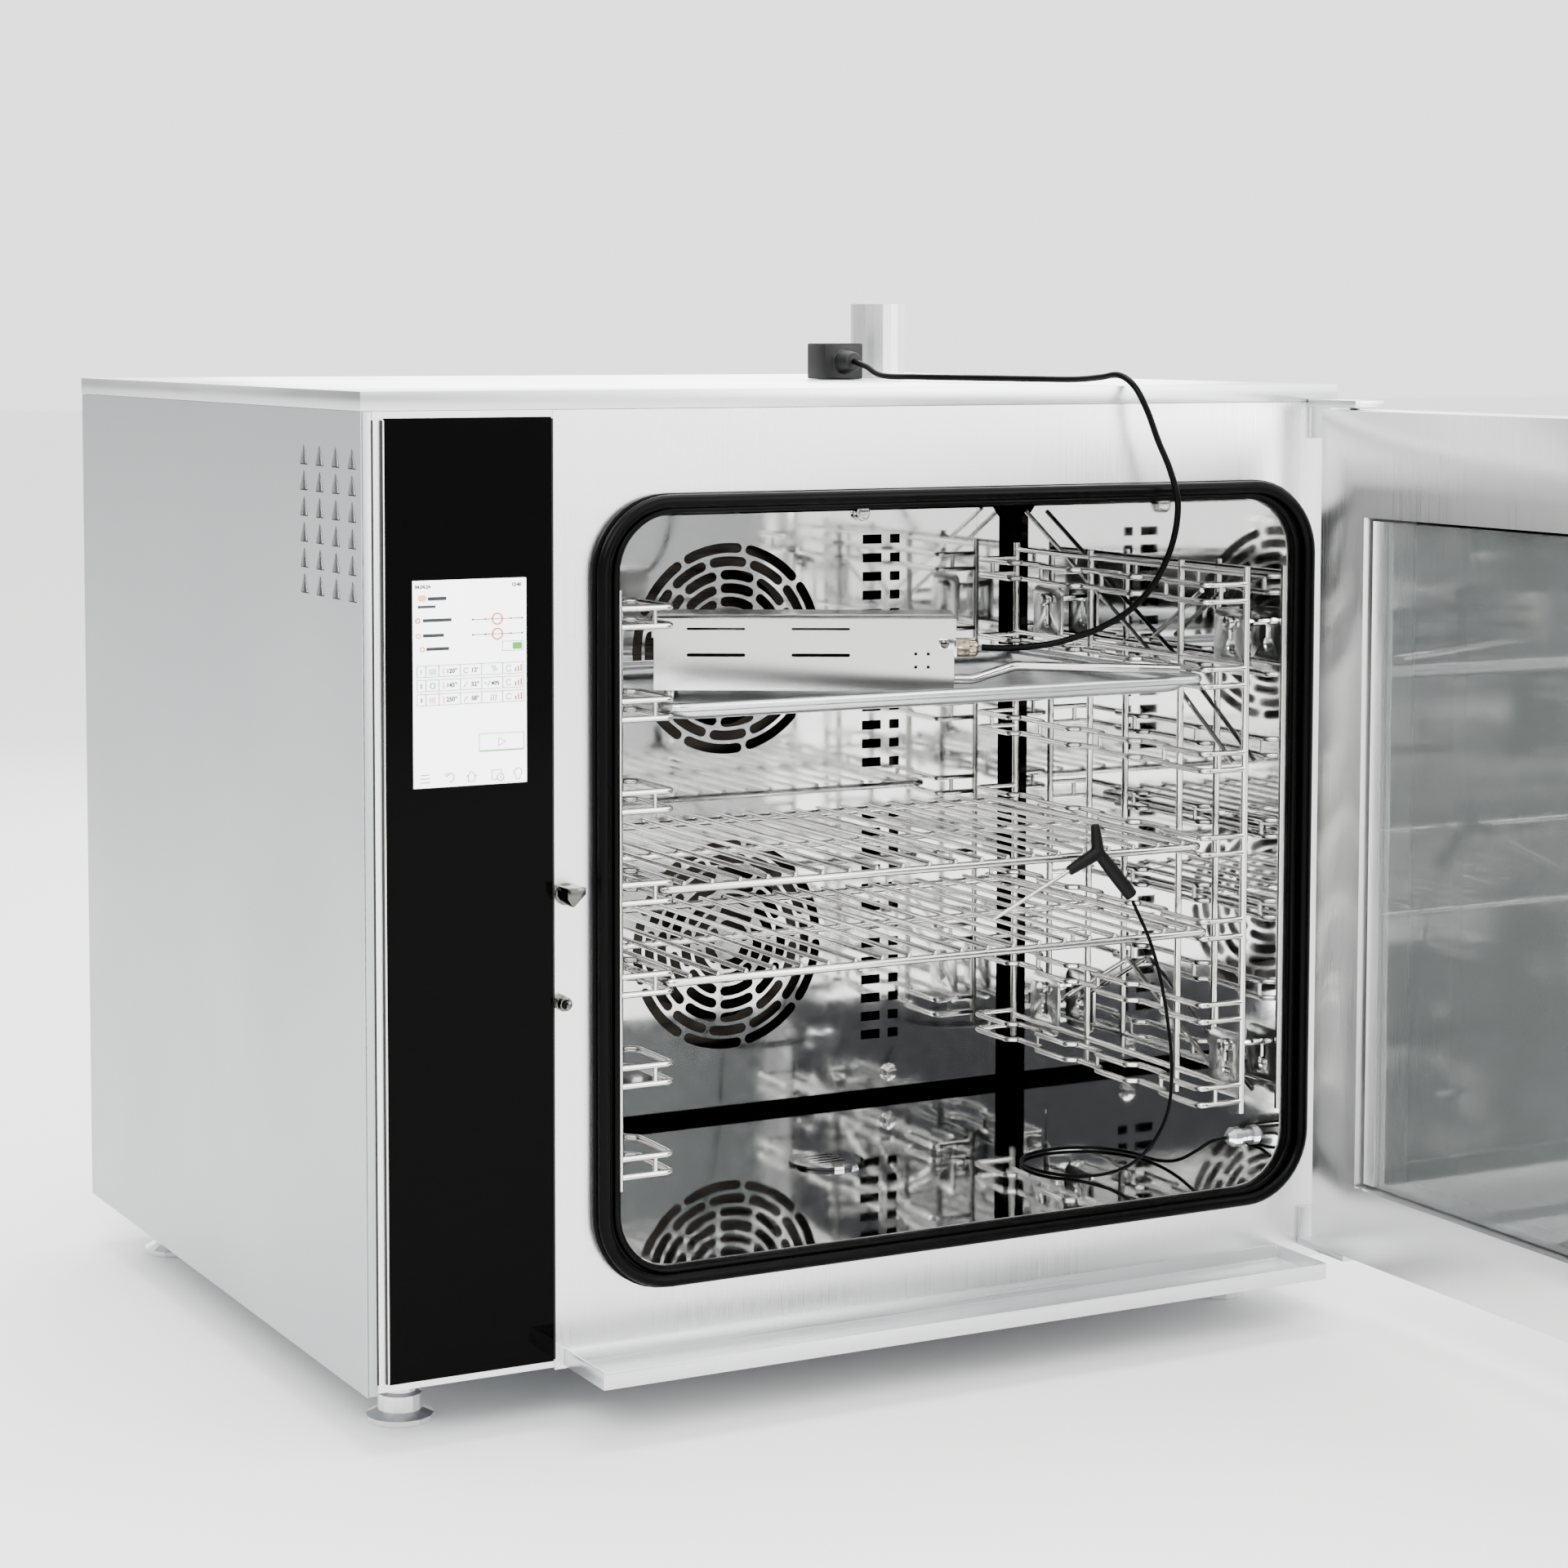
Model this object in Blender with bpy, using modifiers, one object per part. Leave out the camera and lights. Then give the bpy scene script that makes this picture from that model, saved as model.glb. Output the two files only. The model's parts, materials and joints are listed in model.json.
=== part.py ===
"""Combi steamer oven with a left control column and seven crosswise rack levels.

Drawing lengths are in millimetres from a datum: the front inner corner of the left rack's
top rail. X runs right, Y back and Z up. Meshes are made in metres, and one empty sets the
finished oven on its feet, with the origin at the middle of its footprint, the door included.
"""
import math

import bmesh
import bpy
from mathutils import Matrix, Vector

MM = 0.001
GAP = 0.3               # clearance between touching pieces
SHEET = 1.5             # casing and liner sheet

# casing
CASE_X = (-262.0, 596.0)
CASE_Y = (-30.0, 650.0)
CASE_Z = (-565.0, 165.0)
LID_LIP = 14.0
FOOT_HEIGHT = 45.0
FOOT_X = (-205.0, 540.0)
FOOT_Y = (50.0, 590.0)
LOUVRE_FIRST = (-12.0, 110.0)
LOUVRE_PITCH = (33.0, 19.1)
LOUVRE_WIDTH = 14.0
LOUVRE_HEIGHT = 13.5
COLUMN_X = (-253.3, -113.0)
GLASS_X = (-244.5, -114.4)
SCREEN_X = (-223.7, -134.9)
SCREEN_Z = (-121.5, 28.5)

# cooking cavity, inside faces
CAV_X = (-61.0, 548.0)
CAV_Y = (-28.0, 505.0)
CAV_Z = (-497.0, 75.0)
MOUTH_TOP = 72.5
MOUTH_RADIUS = 45.0
GASKET_WIDTH_X = 22.0
GASKET_WIDTH_Z = 15.0
GASKET_FRONT = -44.5

# racks and what slides in them
LEVELS = 7
PITCH = 70.0
RAIL_DROP = 14.1
ROD_R = 2.5
RAIL_X = (0.0, 488.0)
POST_X = (-45.0, 529.0)
POST_Y = {"left": (0.0, 361.0), "right": (0.0, 95.0, 236.0, 361.0)}
RAIL_BACK = 361.0
SHELF_X = (-7.0, 495.0)
SHELF_DEPTH = 318.0
SHELF_ROD_R = 3.3
SHELF_WIRE_R = 2.0
SHELF_WIRES = 20
WIRE_FIRST_X = 13.8
WIRE_PITCH = 24.2
TRAY_RIM_Z = -81.3
TRAY_RIM = 7.5
TRAY_DEPTH = 7.2
TRAY_Y = (-2.0, 321.0)

# fans
FAN_X = 249.5
FAN_Z = {"upper": -75.0, "lower": -342.0}
BAFFLE_Y = 397.0
WHEEL_R = 104.0
BLADES = 10

# door, drawn closed and turned about its hinge axis
DOOR_X = (-112.5, 594.0)
DOOR_Y = (-103.0, -45.0)
DOOR_Z = (-545.0, 145.0)
HINGE = (584.0, -70.0)
DOOR_REST_ANGLE = 90.0
WINDOW_X = (-50.0, 537.0)
WINDOW_Z = (-485.0, 60.0)
PANE_AXIS = (531.0, -55.0)
LATCH_Z = -208.0
LATCH_X = (-111.0, -96.5)
LATCH_WEDGE = (-214.0, -200.0)
LATCH_FRONT = -52.0
HANDLE_X = -72.0
SWITCH = (-107.5, -288.0)

# smoker on the tray, turned to face the user
SMOKER_CORNER = (267.5, 30.0)
SMOKER_TURN = -28.0
SMOKER_SIZE = (244.0, 90.0)
SMOKER_Z = (-79.6, -21.6)
SMOKER_FOOT = (7.4, 5.0)      # height below the box, radius
LID_SKIRT = 15.5
SMOKER_SHEET = 1.2
CHIP_SLOT_X = (-216.0, -132.0)
CHIP_SLOT_LENGTH = 44.0
GLAND_Z = -46.0
HANDLE_ROUTE = ((-8, 6, -70.5), (14, 6, -70.5), (47, 9, -60), (150, 42, -65), (184, 58, -67.5))

# the smoker's cable: out of its gland, up past the gasket, over the top edge and to its socket
SOCKET = (330.0, 330.0)
SMOKER_CABLE_R = 2.6
SMOKER_ROUTE = (
    (294.9, 36.2, -46.0), (312.0, 27.0, -46.6), (338.0, 12.0, -44.0), (358.0, -2.0, -38.0),
    (379.0, -18.0, -27.0), (397.0, -34.0, -10.0), (410.0, -46.0, 13.0), (419.0, -53.0, 42.0),
    (421.0, -56.0, 72.0), (414.0, -55.0, 98.0), (404.0, -52.0, 122.0), (396.0, -48.0, 146.0),
    (390.0, -38.5, 165.0), (386.0, -22.0, 173.5), (383.0, 0.0, 171.5), (380.0, 35.0, 169.3),
    (370.0, 90.0, 169.0), (352.0, 150.0, 169.0), (336.0, 210.0, 169.0), (330.0, 262.0, 169.5),
    (330.0, 290.0, 177.0), (330.0, 311.5, 181.0),
)

# the core probe on the upper shelf's front rod, and its cable down to the cavity floor
PROBE_Y = -9.0
PROBE_FOOT = (411.0, PROBE_Y, -249.0)
PROBE_HUB = (379.0, PROBE_Y, -212.5)
PROBE_HEAD = (376.5, PROBE_Y, -190.5)
PROBE_NECK = (352.0, PROBE_Y, -225.5)
NEEDLE_LENGTH = 82.0
PROBE_CABLE_R = 1.5
PROBE_ROUTE = (
    (412.8, PROBE_Y, -254.6), (417.0, PROBE_Y - 1, -264.0), (428.0, PROBE_Y - 3, -288.0),
    (437.0, PROBE_Y - 5, -318.0), (444.5, PROBE_Y - 6, -356.0), (449.5, PROBE_Y - 5, -394.0),
    (449.0, PROBE_Y - 1, -432.0), (443.0, 8.0, -466.0), (428.0, 26.0, -486.0), (406.0, 48.0, -494.6),
    (386.0, 76.0, -495.2), (384.0, 110.0, -495.2), (404.0, 136.0, -495.2), (438.0, 144.0, -495.2),
    (470.0, 132.0, -495.2), (488.0, 104.0, -495.2), (492.0, 70.0, -495.0), (496.0, 44.0, -490.0),
    (504.0, 27.0, -479.0), (515.0, 22.2, -471.5), (530.5, 22.0, -470.0),
)

# what passes through the casing and the liner: X and Y, X and Z, or Y and Z of each axis
EXHAUST = (420.0, 430.0)
EXHAUST_R = 25.0
FLAP_Z = 132.0
DRAIN = (243.0, 200.0)
DRAIN_EXIT_Z = -540.0
INLET = (-180.0, -480.0)
MAINS = (-90.0, -500.0)
STEAM = (300.0, -120.0)
PROBE_GLAND = (546.0, 22.0, -470.0)
STUDS = ((20.0, -34.0), (305.0, -34.0), (20.0, -390.0), (305.0, -390.0))
COOLER = (-165.0, 0.0)


def clear_scene():
    for old in list(bpy.data.objects):
        bpy.data.objects.remove(old, do_unlink=True)


clear_scene()
PARTS = bpy.data.collections.new("combi_steamer_oven")
CUTTERS = bpy.data.collections.new("cutters")
bpy.context.scene.collection.children.link(PARTS)
bpy.context.scene.collection.children.link(CUTTERS)
DATUM = bpy.data.objects.new("datum", None)
PARTS.objects.link(DATUM)


def material(name, colour, roughness, metallic=0.0):
    made = bpy.data.materials.new(name)
    made.use_nodes = True
    shader = made.node_tree.nodes["Principled BSDF"]
    shader.inputs["Base Color"].default_value = (*colour, 1.0)
    shader.inputs["Roughness"].default_value = roughness
    shader.inputs["Metallic"].default_value = metallic
    return made


BRUSHED = ("brushed_steel", (0.62, 0.62, 0.62), 0.32, 1.0)
POLISHED = ("polished_steel", (0.75, 0.75, 0.75), 0.1, 1.0)
WIRE = ("wire_steel", (0.7, 0.7, 0.69), 0.2, 1.0)
ZINC = ("zinc_sheet", (0.5, 0.52, 0.54), 0.45, 1.0)
BLACK_GLASS = ("black_glass", (0.01, 0.01, 0.012), 0.06, 0.0)
SCREEN_FACE = ("screen_face", (0.9, 0.9, 0.9), 0.2, 0.0)
CLEAR_GLASS = ("clear_glass", (0.5, 0.55, 0.55), 0.05, 0.0)
RUBBER = ("black_rubber", (0.02, 0.02, 0.02), 0.6, 0.0)
PLASTIC = ("black_plastic", (0.03, 0.03, 0.03), 0.45, 0.0)
BRASS = ("brass_fitting", (0.75, 0.55, 0.25), 0.3, 1.0)
BOARD = ("circuit_board", (0.05, 0.25, 0.1), 0.5, 0.0)
WOOL = ("mineral_wool", (0.72, 0.62, 0.4), 0.95, 0.0)
CAST = ("cast_aluminium", (0.55, 0.56, 0.58), 0.5, 1.0)


def finish(obj, name, look, parent=None):
    """Name a piece, give it its own material and hang it from the datum or a joint's empty."""
    obj.name = name
    obj.data.name = name
    obj.data.materials.clear()
    obj.data.materials.append(material(name + "_" + look[0], *look[1:]))
    obj.parent = parent or DATUM
    return obj


def mesh_object(name, bm, collection=PARTS):
    mesh = bpy.data.meshes.new(name)
    bm.to_mesh(mesh)
    bm.free()
    obj = bpy.data.objects.new(name, mesh)
    collection.objects.link(obj)
    return obj


def block(x, y, z, collection=PARTS):
    """An upright box from its low and high limits on each axis."""
    bm = bmesh.new()
    bmesh.ops.create_cube(bm, size=1.0)
    size = Vector((x[1] - x[0], y[1] - y[0], z[1] - z[0])) * MM
    centre = Vector((x[0] + x[1], y[0] + y[1], z[0] + z[1])) * MM / 2
    bmesh.ops.scale(bm, vec=size, verts=bm.verts)
    bmesh.ops.translate(bm, vec=centre, verts=bm.verts)
    return mesh_object("block", bm, collection)


AXIS_TURN = {
    "X": Matrix.Rotation(math.pi / 2, 4, "Y"),
    "Y": Matrix.Rotation(-math.pi / 2, 4, "X"),
    "Z": Matrix(),
}


def rod(axis, start, length, radius, sides=16, tip=None, collection=PARTS):
    """A round bar, or a cone when tip is given, from a start point along an axis."""
    bm = bmesh.new()
    end_radius = radius if tip is None else tip
    bmesh.ops.create_cone(
        bm, cap_ends=True, segments=sides, radius1=radius * MM, radius2=end_radius * MM, depth=length * MM
    )
    bmesh.ops.translate(bm, vec=(0, 0, length * MM / 2), verts=bm.verts)
    bmesh.ops.transform(bm, matrix=AXIS_TURN[axis], verts=bm.verts)
    bmesh.ops.translate(bm, vec=Vector(start) * MM, verts=bm.verts)
    return mesh_object("rod", bm, collection)


def wire(points, radius, sides_level=1, collection=PARTS):
    """A bent wire: a poly curve with round section, made a closed mesh."""
    curve = bpy.data.curves.new("wire", "CURVE")
    curve.dimensions = "3D"
    curve.bevel_depth = radius * MM
    curve.bevel_resolution = sides_level
    curve.use_fill_caps = True
    spline = curve.splines.new("POLY")
    spline.points.add(len(points) - 1)
    for point, place in zip(spline.points, points):
        point.co = (place[0] * MM, place[1] * MM, place[2] * MM, 1.0)
    guide = bpy.data.objects.new("wire_guide", curve)
    collection.objects.link(guide)
    evaluated = guide.evaluated_get(bpy.context.evaluated_depsgraph_get())
    mesh = bpy.data.meshes.new_from_object(evaluated)
    bpy.data.objects.remove(guide, do_unlink=True)
    bm = bmesh.new()
    bm.from_mesh(mesh)
    bmesh.ops.remove_doubles(bm, verts=bm.verts, dist=0.00001)
    bpy.data.meshes.remove(mesh)
    return mesh_object("wire", bm, collection)


def face_out(obj):
    bm = bmesh.new()
    bm.from_mesh(obj.data)
    bmesh.ops.recalc_face_normals(bm, faces=bm.faces)
    bm.to_mesh(obj.data)
    bm.free()
    return obj


def turned(profile, place, axis="Z", sides=20):
    """A turned piece: radius and height pairs down the outer side, swept by Screw."""
    bm = bmesh.new()
    corners = [bm.verts.new((radius * MM, 0.0, height * MM)) for radius, height in profile]
    for first, second in zip(corners, corners[1:]):
        bm.edges.new((first, second))
    obj = mesh_object("turned", bm)
    screw = obj.modifiers.new("turn", "SCREW")
    screw.axis = "Z"
    screw.steps = sides
    screw.render_steps = sides
    screw.use_merge_vertices = True
    screw.merge_threshold = 0.00001
    obj.matrix_world = Matrix.Translation(Vector(place) * MM) @ AXIS_TURN[axis]
    return face_out(settle(obj))


def rounded_outline(x, z, radius, steps=5):
    """Points of an upright rectangle with round corners."""
    corners = (
        (x[1] - radius, z[1] - radius, 0), (x[0] + radius, z[1] - radius, 90),
        (x[0] + radius, z[0] + radius, 180), (x[1] - radius, z[0] + radius, 270),
    )
    points = []
    for cx, cz, start in corners:
        for step in range(steps + 1):
            angle = math.radians(start + 90 * step / steps)
            points.append((cx + radius * math.cos(angle), cz + radius * math.sin(angle)))
    return points


def upright_plate(outline, y, holes=(), collection=PARTS):
    """A flat plate standing in XZ between two Y limits, with holes, from a filled 2D curve."""
    curve = bpy.data.curves.new("outline", "CURVE")
    curve.dimensions = "2D"
    curve.fill_mode = "BOTH"
    curve.extrude = (y[1] - y[0]) * MM / 2
    for loop in (outline, *holes):
        spline = curve.splines.new("POLY")
        spline.points.add(len(loop) - 1)
        for point, place in zip(spline.points, loop):
            point.co = (place[0] * MM, place[1] * MM, 0.0, 1.0)
        spline.use_cyclic_u = True
    guide = bpy.data.objects.new("outline_guide", curve)
    collection.objects.link(guide)
    evaluated = guide.evaluated_get(bpy.context.evaluated_depsgraph_get())
    mesh = bpy.data.meshes.new_from_object(evaluated)
    bpy.data.objects.remove(guide, do_unlink=True)
    bm = bmesh.new()
    bm.from_mesh(mesh)
    bpy.data.meshes.remove(mesh)
    bmesh.ops.remove_doubles(bm, verts=bm.verts, dist=0.00001)
    bmesh.ops.transform(bm, matrix=Matrix.Rotation(math.pi / 2, 4, "X"), verts=bm.verts)
    bmesh.ops.translate(bm, vec=(0, (y[0] + y[1]) * MM / 2, 0), verts=bm.verts)
    return mesh_object("plate", bm, collection)


def settle(obj):
    """Apply an object's modifiers and its place to its mesh."""
    bpy.context.view_layer.update()
    evaluated = obj.evaluated_get(bpy.context.evaluated_depsgraph_get())
    mesh = bpy.data.meshes.new_from_object(evaluated)
    mesh.transform(obj.matrix_world)
    obj.modifiers.clear()
    obj.data = mesh
    obj.matrix_world = Matrix()
    return obj


def combine(obj, tools, operation):
    """Join tools to a piece or cut them from it, in one exact Boolean."""
    group = bpy.data.collections.new("tools")
    CUTTERS.children.link(group)
    for tool in tools:
        for holder in list(tool.users_collection):
            holder.objects.unlink(tool)
        group.objects.link(tool)
        tool.hide_render = True
        tool.display_type = "WIRE"
    change = obj.modifiers.new(operation.lower(), "BOOLEAN")
    change.operation = operation
    change.operand_type = "COLLECTION"
    change.collection = group
    change.solver = "EXACT"
    settle(obj)
    for tool in tools:
        bpy.data.objects.remove(tool, do_unlink=True)
    bpy.data.collections.remove(group)
    return obj


def cut(obj, *tools):
    return combine(obj, tools, "DIFFERENCE")


def join(obj, *tools):
    return combine(obj, tools, "UNION")


def smooth(obj, angle=40.0):
    obj.data.shade_smooth()
    obj.data.set_sharp_from_angle(angle=math.radians(angle))
    return obj


def inset(limits, amount):
    return (limits[0] + amount, limits[1] - amount)


def smooth_route(points, spacing):
    """Evenly spaced points on a Catmull-Rom curve through a cord's own points."""
    ends = [2 * Vector(points[0]) - Vector(points[1]), 2 * Vector(points[-1]) - Vector(points[-2])]
    knots = [ends[0], *[Vector(point) for point in points], ends[1]]
    fine = []
    for i in range(1, len(knots) - 2):
        a, b, c, d = knots[i - 1:i + 3]
        for step in range(12):
            t = step / 12
            bend = (2 * a - 5 * b + 4 * c - d) * t * t + (3 * b - a - 3 * c + d) * t**3
            fine.append(0.5 * (2 * b + (c - a) * t + bend))
    fine.append(Vector(points[-1]))
    total = sum((second - first).length for first, second in zip(fine, fine[1:]))
    count = max(2, round(total / spacing))
    route = [fine[0]]
    travelled = 0.0
    for first, second in zip(fine, fine[1:]):
        length = (second - first).length
        while travelled + length >= total * len(route) / count and len(route) < count:
            share = (total * len(route) / count - travelled) / length
            route.append(first.lerp(second, share))
        travelled += length
    route.append(fine[-1])
    return route


# ---------------------------------------------------------------- casing

def make_base():
    x = inset(CASE_X, 7.0)
    y = inset(CASE_Y, 10.0)
    pan = block(x, y, (CASE_Z[0], CASE_Z[0] + 34.0))
    hollow = block(inset(x, 2.0), inset(y, 2.0), (CASE_Z[0] + 2.0, CASE_Z[0] + 40.0))
    cut(pan, hollow, rod("Y", (DRAIN[0], y[1] - 10, DRAIN_EXIT_Z), 20, 16, 16))
    finish(pan, "base_frame", ZINC)


def make_feet():
    top = CASE_Z[0] - GAP
    low = CASE_Z[0] - FOOT_HEIGHT
    collar = [(13, low + 22), (17, low + 20), (17, low + 8)]
    profile = [(0, top), (13, top), *collar, (26, low + 4), (26, low), (0, low)]
    for side, x in zip(("left", "right"), FOOT_X):
        for end, y in zip(("front", "rear"), FOOT_Y):
            foot = smooth(turned(profile, (x, y, 0), sides=14))
            finish(foot, f"foot_{end}_{side}", BRUSHED)


def make_side_panels():
    z = (CASE_Z[0], CASE_Z[1] - LID_LIP - GAP)
    left = block((CASE_X[0], CASE_X[0] + SHEET), (CASE_Y[0], CASE_Y[1] - SHEET - GAP), z)
    flange = block((CASE_X[0] + 0.5, COLUMN_X[0] - GAP), (CASE_Y[0], CASE_Y[0] + SHEET), z)
    louvres = []
    for row in range(6):
        for column in range(4):
            hood = rod("Z", (0, 0, 0), LOUVRE_HEIGHT, LOUVRE_WIDTH / 2, 6, tip=0.6)
            hood.scale = (0.33, 1.0, 1.0)
            low = LOUVRE_FIRST[1] - LOUVRE_PITCH[1] * row
            back = LOUVRE_FIRST[0] + LOUVRE_PITCH[0] * column
            hood.location = Vector((CASE_X[0] + 0.5, back, low)) * MM
            louvres.append(settle(hood))
    join(left, flange, *louvres)
    finish(left, "left_side_panel", BRUSHED)
    right = block((CASE_X[1] - SHEET, CASE_X[1]), (CASE_Y[0], CASE_Y[1] - SHEET - GAP), z)
    flange = block((CASE_X[1] - 7.0, CASE_X[1] - 0.5), (CASE_Y[0], CASE_Y[0] + SHEET), z)
    join(right, flange)
    finish(right, "right_side_panel", BRUSHED)


def make_top_panel():
    lid = block(CASE_X, CASE_Y, (CASE_Z[1] - LID_LIP, CASE_Z[1]))
    hollow = block(inset(CASE_X, SHEET), inset(CASE_Y, SHEET), (CASE_Z[1] - LID_LIP - 5, CASE_Z[1] - SHEET))
    cut(lid, hollow, rod("Z", (*EXHAUST, CASE_Z[1] - 10), 20, 26.0, 20))
    finish(lid, "top_panel", BRUSHED)


def make_rear_panel():
    x = (CASE_X[0] + SHEET + GAP, CASE_X[1] - SHEET - GAP)
    z = (CASE_Z[0], CASE_Z[1] - LID_LIP - GAP)
    panel = block(x, (CASE_Y[1] - SHEET - GAP - SHEET, CASE_Y[1] - SHEET - GAP), z)
    y = CASE_Y[1] - 10
    slots = [block((-215 + 14 * i, -209 + 14 * i), (y, y + 20), (-60, 60)) for i in range(8)]
    slots.append(rod("Y", (DRAIN[0], y, DRAIN_EXIT_Z), 20, 17, 16))
    slots.append(rod("Y", (INLET[0], y, INLET[1]), 20, 9.5, 12))
    slots.append(rod("Y", (MAINS[0], y, MAINS[1]), 20, 11.5, 12))
    cut(panel, *slots)
    finish(panel, "rear_panel", ZINC)


def make_rear_fittings():
    y = CASE_Y[1] - SHEET - GAP
    profile = [(0, 24), (12, 24), (12, 2), (16, 2), (16, 0.3), (9, 0.3), (9, -20), (0, -20)]
    finish(smooth(turned(profile, (INLET[0], y, INLET[1]), "Y", 12)), "water_inlet", BRASS)
    profile = [(0, 14), (8, 14), (14, 8), (14, 0.3), (11, 0.3), (11, -16), (0, -16)]
    finish(smooth(turned(profile, (MAINS[0], y, MAINS[1]), "Y", 12)), "mains_gland", PLASTIC)


def make_control_column():
    z = (CASE_Z[0] + 2, CASE_Z[1] - LID_LIP - GAP)
    column = block(COLUMN_X, (CASE_Y[0], CASE_Y[0] + 9.0), z)
    inside_x = (GLASS_X[0] - GAP, GLASS_X[1] + GAP)
    cut(column, block(inside_x, (CASE_Y[0] - 5, 45.0), inset(z, 5.0)))
    finish(column, "control_column", BRUSHED)
    glass_z = inset(z, 5.0 + GAP)
    glass = block(GLASS_X, (-32.0, -27.0), glass_z)
    window_x = (SCREEN_X[0] - GAP, SCREEN_X[1] + GAP)
    window_z = (SCREEN_Z[0] - GAP, SCREEN_Z[1] + GAP)
    cut(glass, block(window_x, (-40, -20), window_z))
    finish(glass, "control_glass", BLACK_GLASS)
    screen = block(SCREEN_X, (-32.0, -26.0), SCREEN_Z)
    module = block(inset(SCREEN_X, -8), (-26.7, -10.0), inset(SCREEN_Z, -8))
    finish(join(screen, module), "touch_screen", SCREEN_FACE)
    board = block((-235, -125), (0.0, 1.8), (-420, -150))
    chips = [
        block((-220, -190), (-8, 0.5), (-230, -200)),
        block((-175, -140), (-14, 0.5), (-260, -215)),
        block((-222, -180), (-20, 0.5), (-380, -330)),
        rod("Y", (-150, -22, -350), 22.5, 12, 12),
    ]
    join(board, *chips)
    finish(board, "control_board", BOARD)


def make_front_frame():
    outline = [(-112.7, CASE_Z[0]), (588.6, CASE_Z[0]), (588.6, 150.6), (-112.7, 150.6)]
    mouth = rounded_outline(CAV_X, (CAV_Z[0], MOUTH_TOP), MOUTH_RADIUS)
    finish(upright_plate(outline, (CASE_Y[0], CASE_Y[0] + SHEET), [mouth]), "front_frame", BRUSHED)


# ---------------------------------------------------------------- cavity

def make_cavity():
    outer_x = inset(CAV_X, -SHEET)
    outer_z = inset(CAV_Z, -SHEET)
    liner = block(outer_x, (CASE_Y[0] + SHEET + GAP, CAV_Y[1] + SHEET), outer_z)
    cut(liner, block(CAV_X, (CASE_Y[0] - 5, CAV_Y[1]), CAV_Z))
    holes = [rod("Y", (FAN_X, CAV_Y[1] - 5, z), 12, 10.0, 16) for z in FAN_Z.values()]
    for z in FAN_Z.values():
        holes += [rod("Y", (FAN_X + 60 + lead, CAV_Y[1] - 5, z - 95), 12, 5.5, 8) for lead in (0, 24)]
    holes.append(rod("Z", (*DRAIN, CAV_Z[0] - 5), 10, 24.0, 20))
    holes.append(rod("Z", (*EXHAUST, CAV_Z[1] - 5), 10, 26.0, 20))
    holes.append(rod("X", (CAV_X[0] - 8, STEAM[0], STEAM[1]), 12, 10.0, 12))
    holes.append(rod("X", (CAV_X[1] - 5, PROBE_GLAND[1], PROBE_GLAND[2]), 12, 6.5, 12))
    cut(liner, *holes)
    studs = []
    for x, towards in ((CAV_X[0] - 0.5, 1), (CAV_X[1] + 0.5, -1)):
        length = 23.0 if towards < 0 else 12.0
        start = x if towards > 0 else x - length
        studs += [rod("X", (start, y, z), length, 3.0, 8) for y, z in STUDS]
    join(liner, *studs)
    finish(liner, "cavity_liner", POLISHED)


def make_insulation():
    inner_x = inset(CAV_X, -SHEET - GAP)
    inner_z = inset(CAV_Z, -SHEET - GAP)
    wool = block(inset(inner_x, -24), (CASE_Y[0] + 12, CAV_Y[1]), inset(inner_z, -24))
    tools = [
        block(inner_x, (-60, CAV_Y[1] + 30), inner_z),
        rod("Z", (*EXHAUST, CAV_Z[1] - 5), 50, 30.0, 16),
        block((DRAIN[0] - 34, DRAIN[0] + 34), (DRAIN[1] - 34, DRAIN[1] + 160), (CAV_Z[0] - 45, CAV_Z[0])),
        rod("X", (CAV_X[0] - 45, STEAM[0], STEAM[1]), 50, 12.0, 12),
        rod("X", (CAV_X[1] - 5, PROBE_GLAND[1], PROBE_GLAND[2]), 50, 13.0, 12),
    ]
    finish(cut(wool, *tools), "insulation_jacket", WOOL)


def make_gasket():
    inner_z = (CAV_Z[0], MOUTH_TOP)
    outer = rounded_outline(inset(CAV_X, -GASKET_WIDTH_X), inset(inner_z, -GASKET_WIDTH_Z), 60.0)
    inner = rounded_outline(inset(CAV_X, -0.5), inset(inner_z, -0.5), MOUTH_RADIUS)
    finish(upright_plate(outer, (GASKET_FRONT, CASE_Y[0] - GAP), [inner]), "door_gasket", RUBBER)


def make_baffle():
    x = (0.0, 507.0)
    z = (-488.0, 45.0)
    sheet = block(x, (BAFFLE_Y, BAFFLE_Y + SHEET), z)
    flange = block((x[1] - SHEET, x[1] + 25.0), (BAFFLE_Y + 0.2, BAFFLE_Y + 2.0), (z[0], z[1] - 10))
    tools = []
    for fan_z in FAN_Z.values():
        for ring in range(2):
            radius = 42.0 + 34.0 * ring
            for spoke in range(6):
                outline = []
                for side, step in ((12.0, 1), (-12.0, -1)):
                    for i in range(4)[::step]:
                        angle = math.radians(60 * spoke + 30 * ring + 6 + 48 * i / 3)
                        reach = radius + side
                        outline.append((FAN_X + reach * math.cos(angle), fan_z + reach * math.sin(angle)))
                tools.append(upright_plate(outline, (BAFFLE_Y - 5, BAFFLE_Y + 8)))
    for top in (23.0, -229.0):
        for row in range(13):
            low = top - 8.5 - 17.0 * row
            tools.append(block((386.8, 425.7), (BAFFLE_Y - 5, BAFFLE_Y + 8), (low, low + 8.5)))
    cut(sheet, *tools)
    join(sheet, flange, rod("Y", (416.2, BAFFLE_Y - 6, -474.3), 7, 7.0, 6))
    finish(sheet, "fan_baffle", POLISHED)


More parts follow.
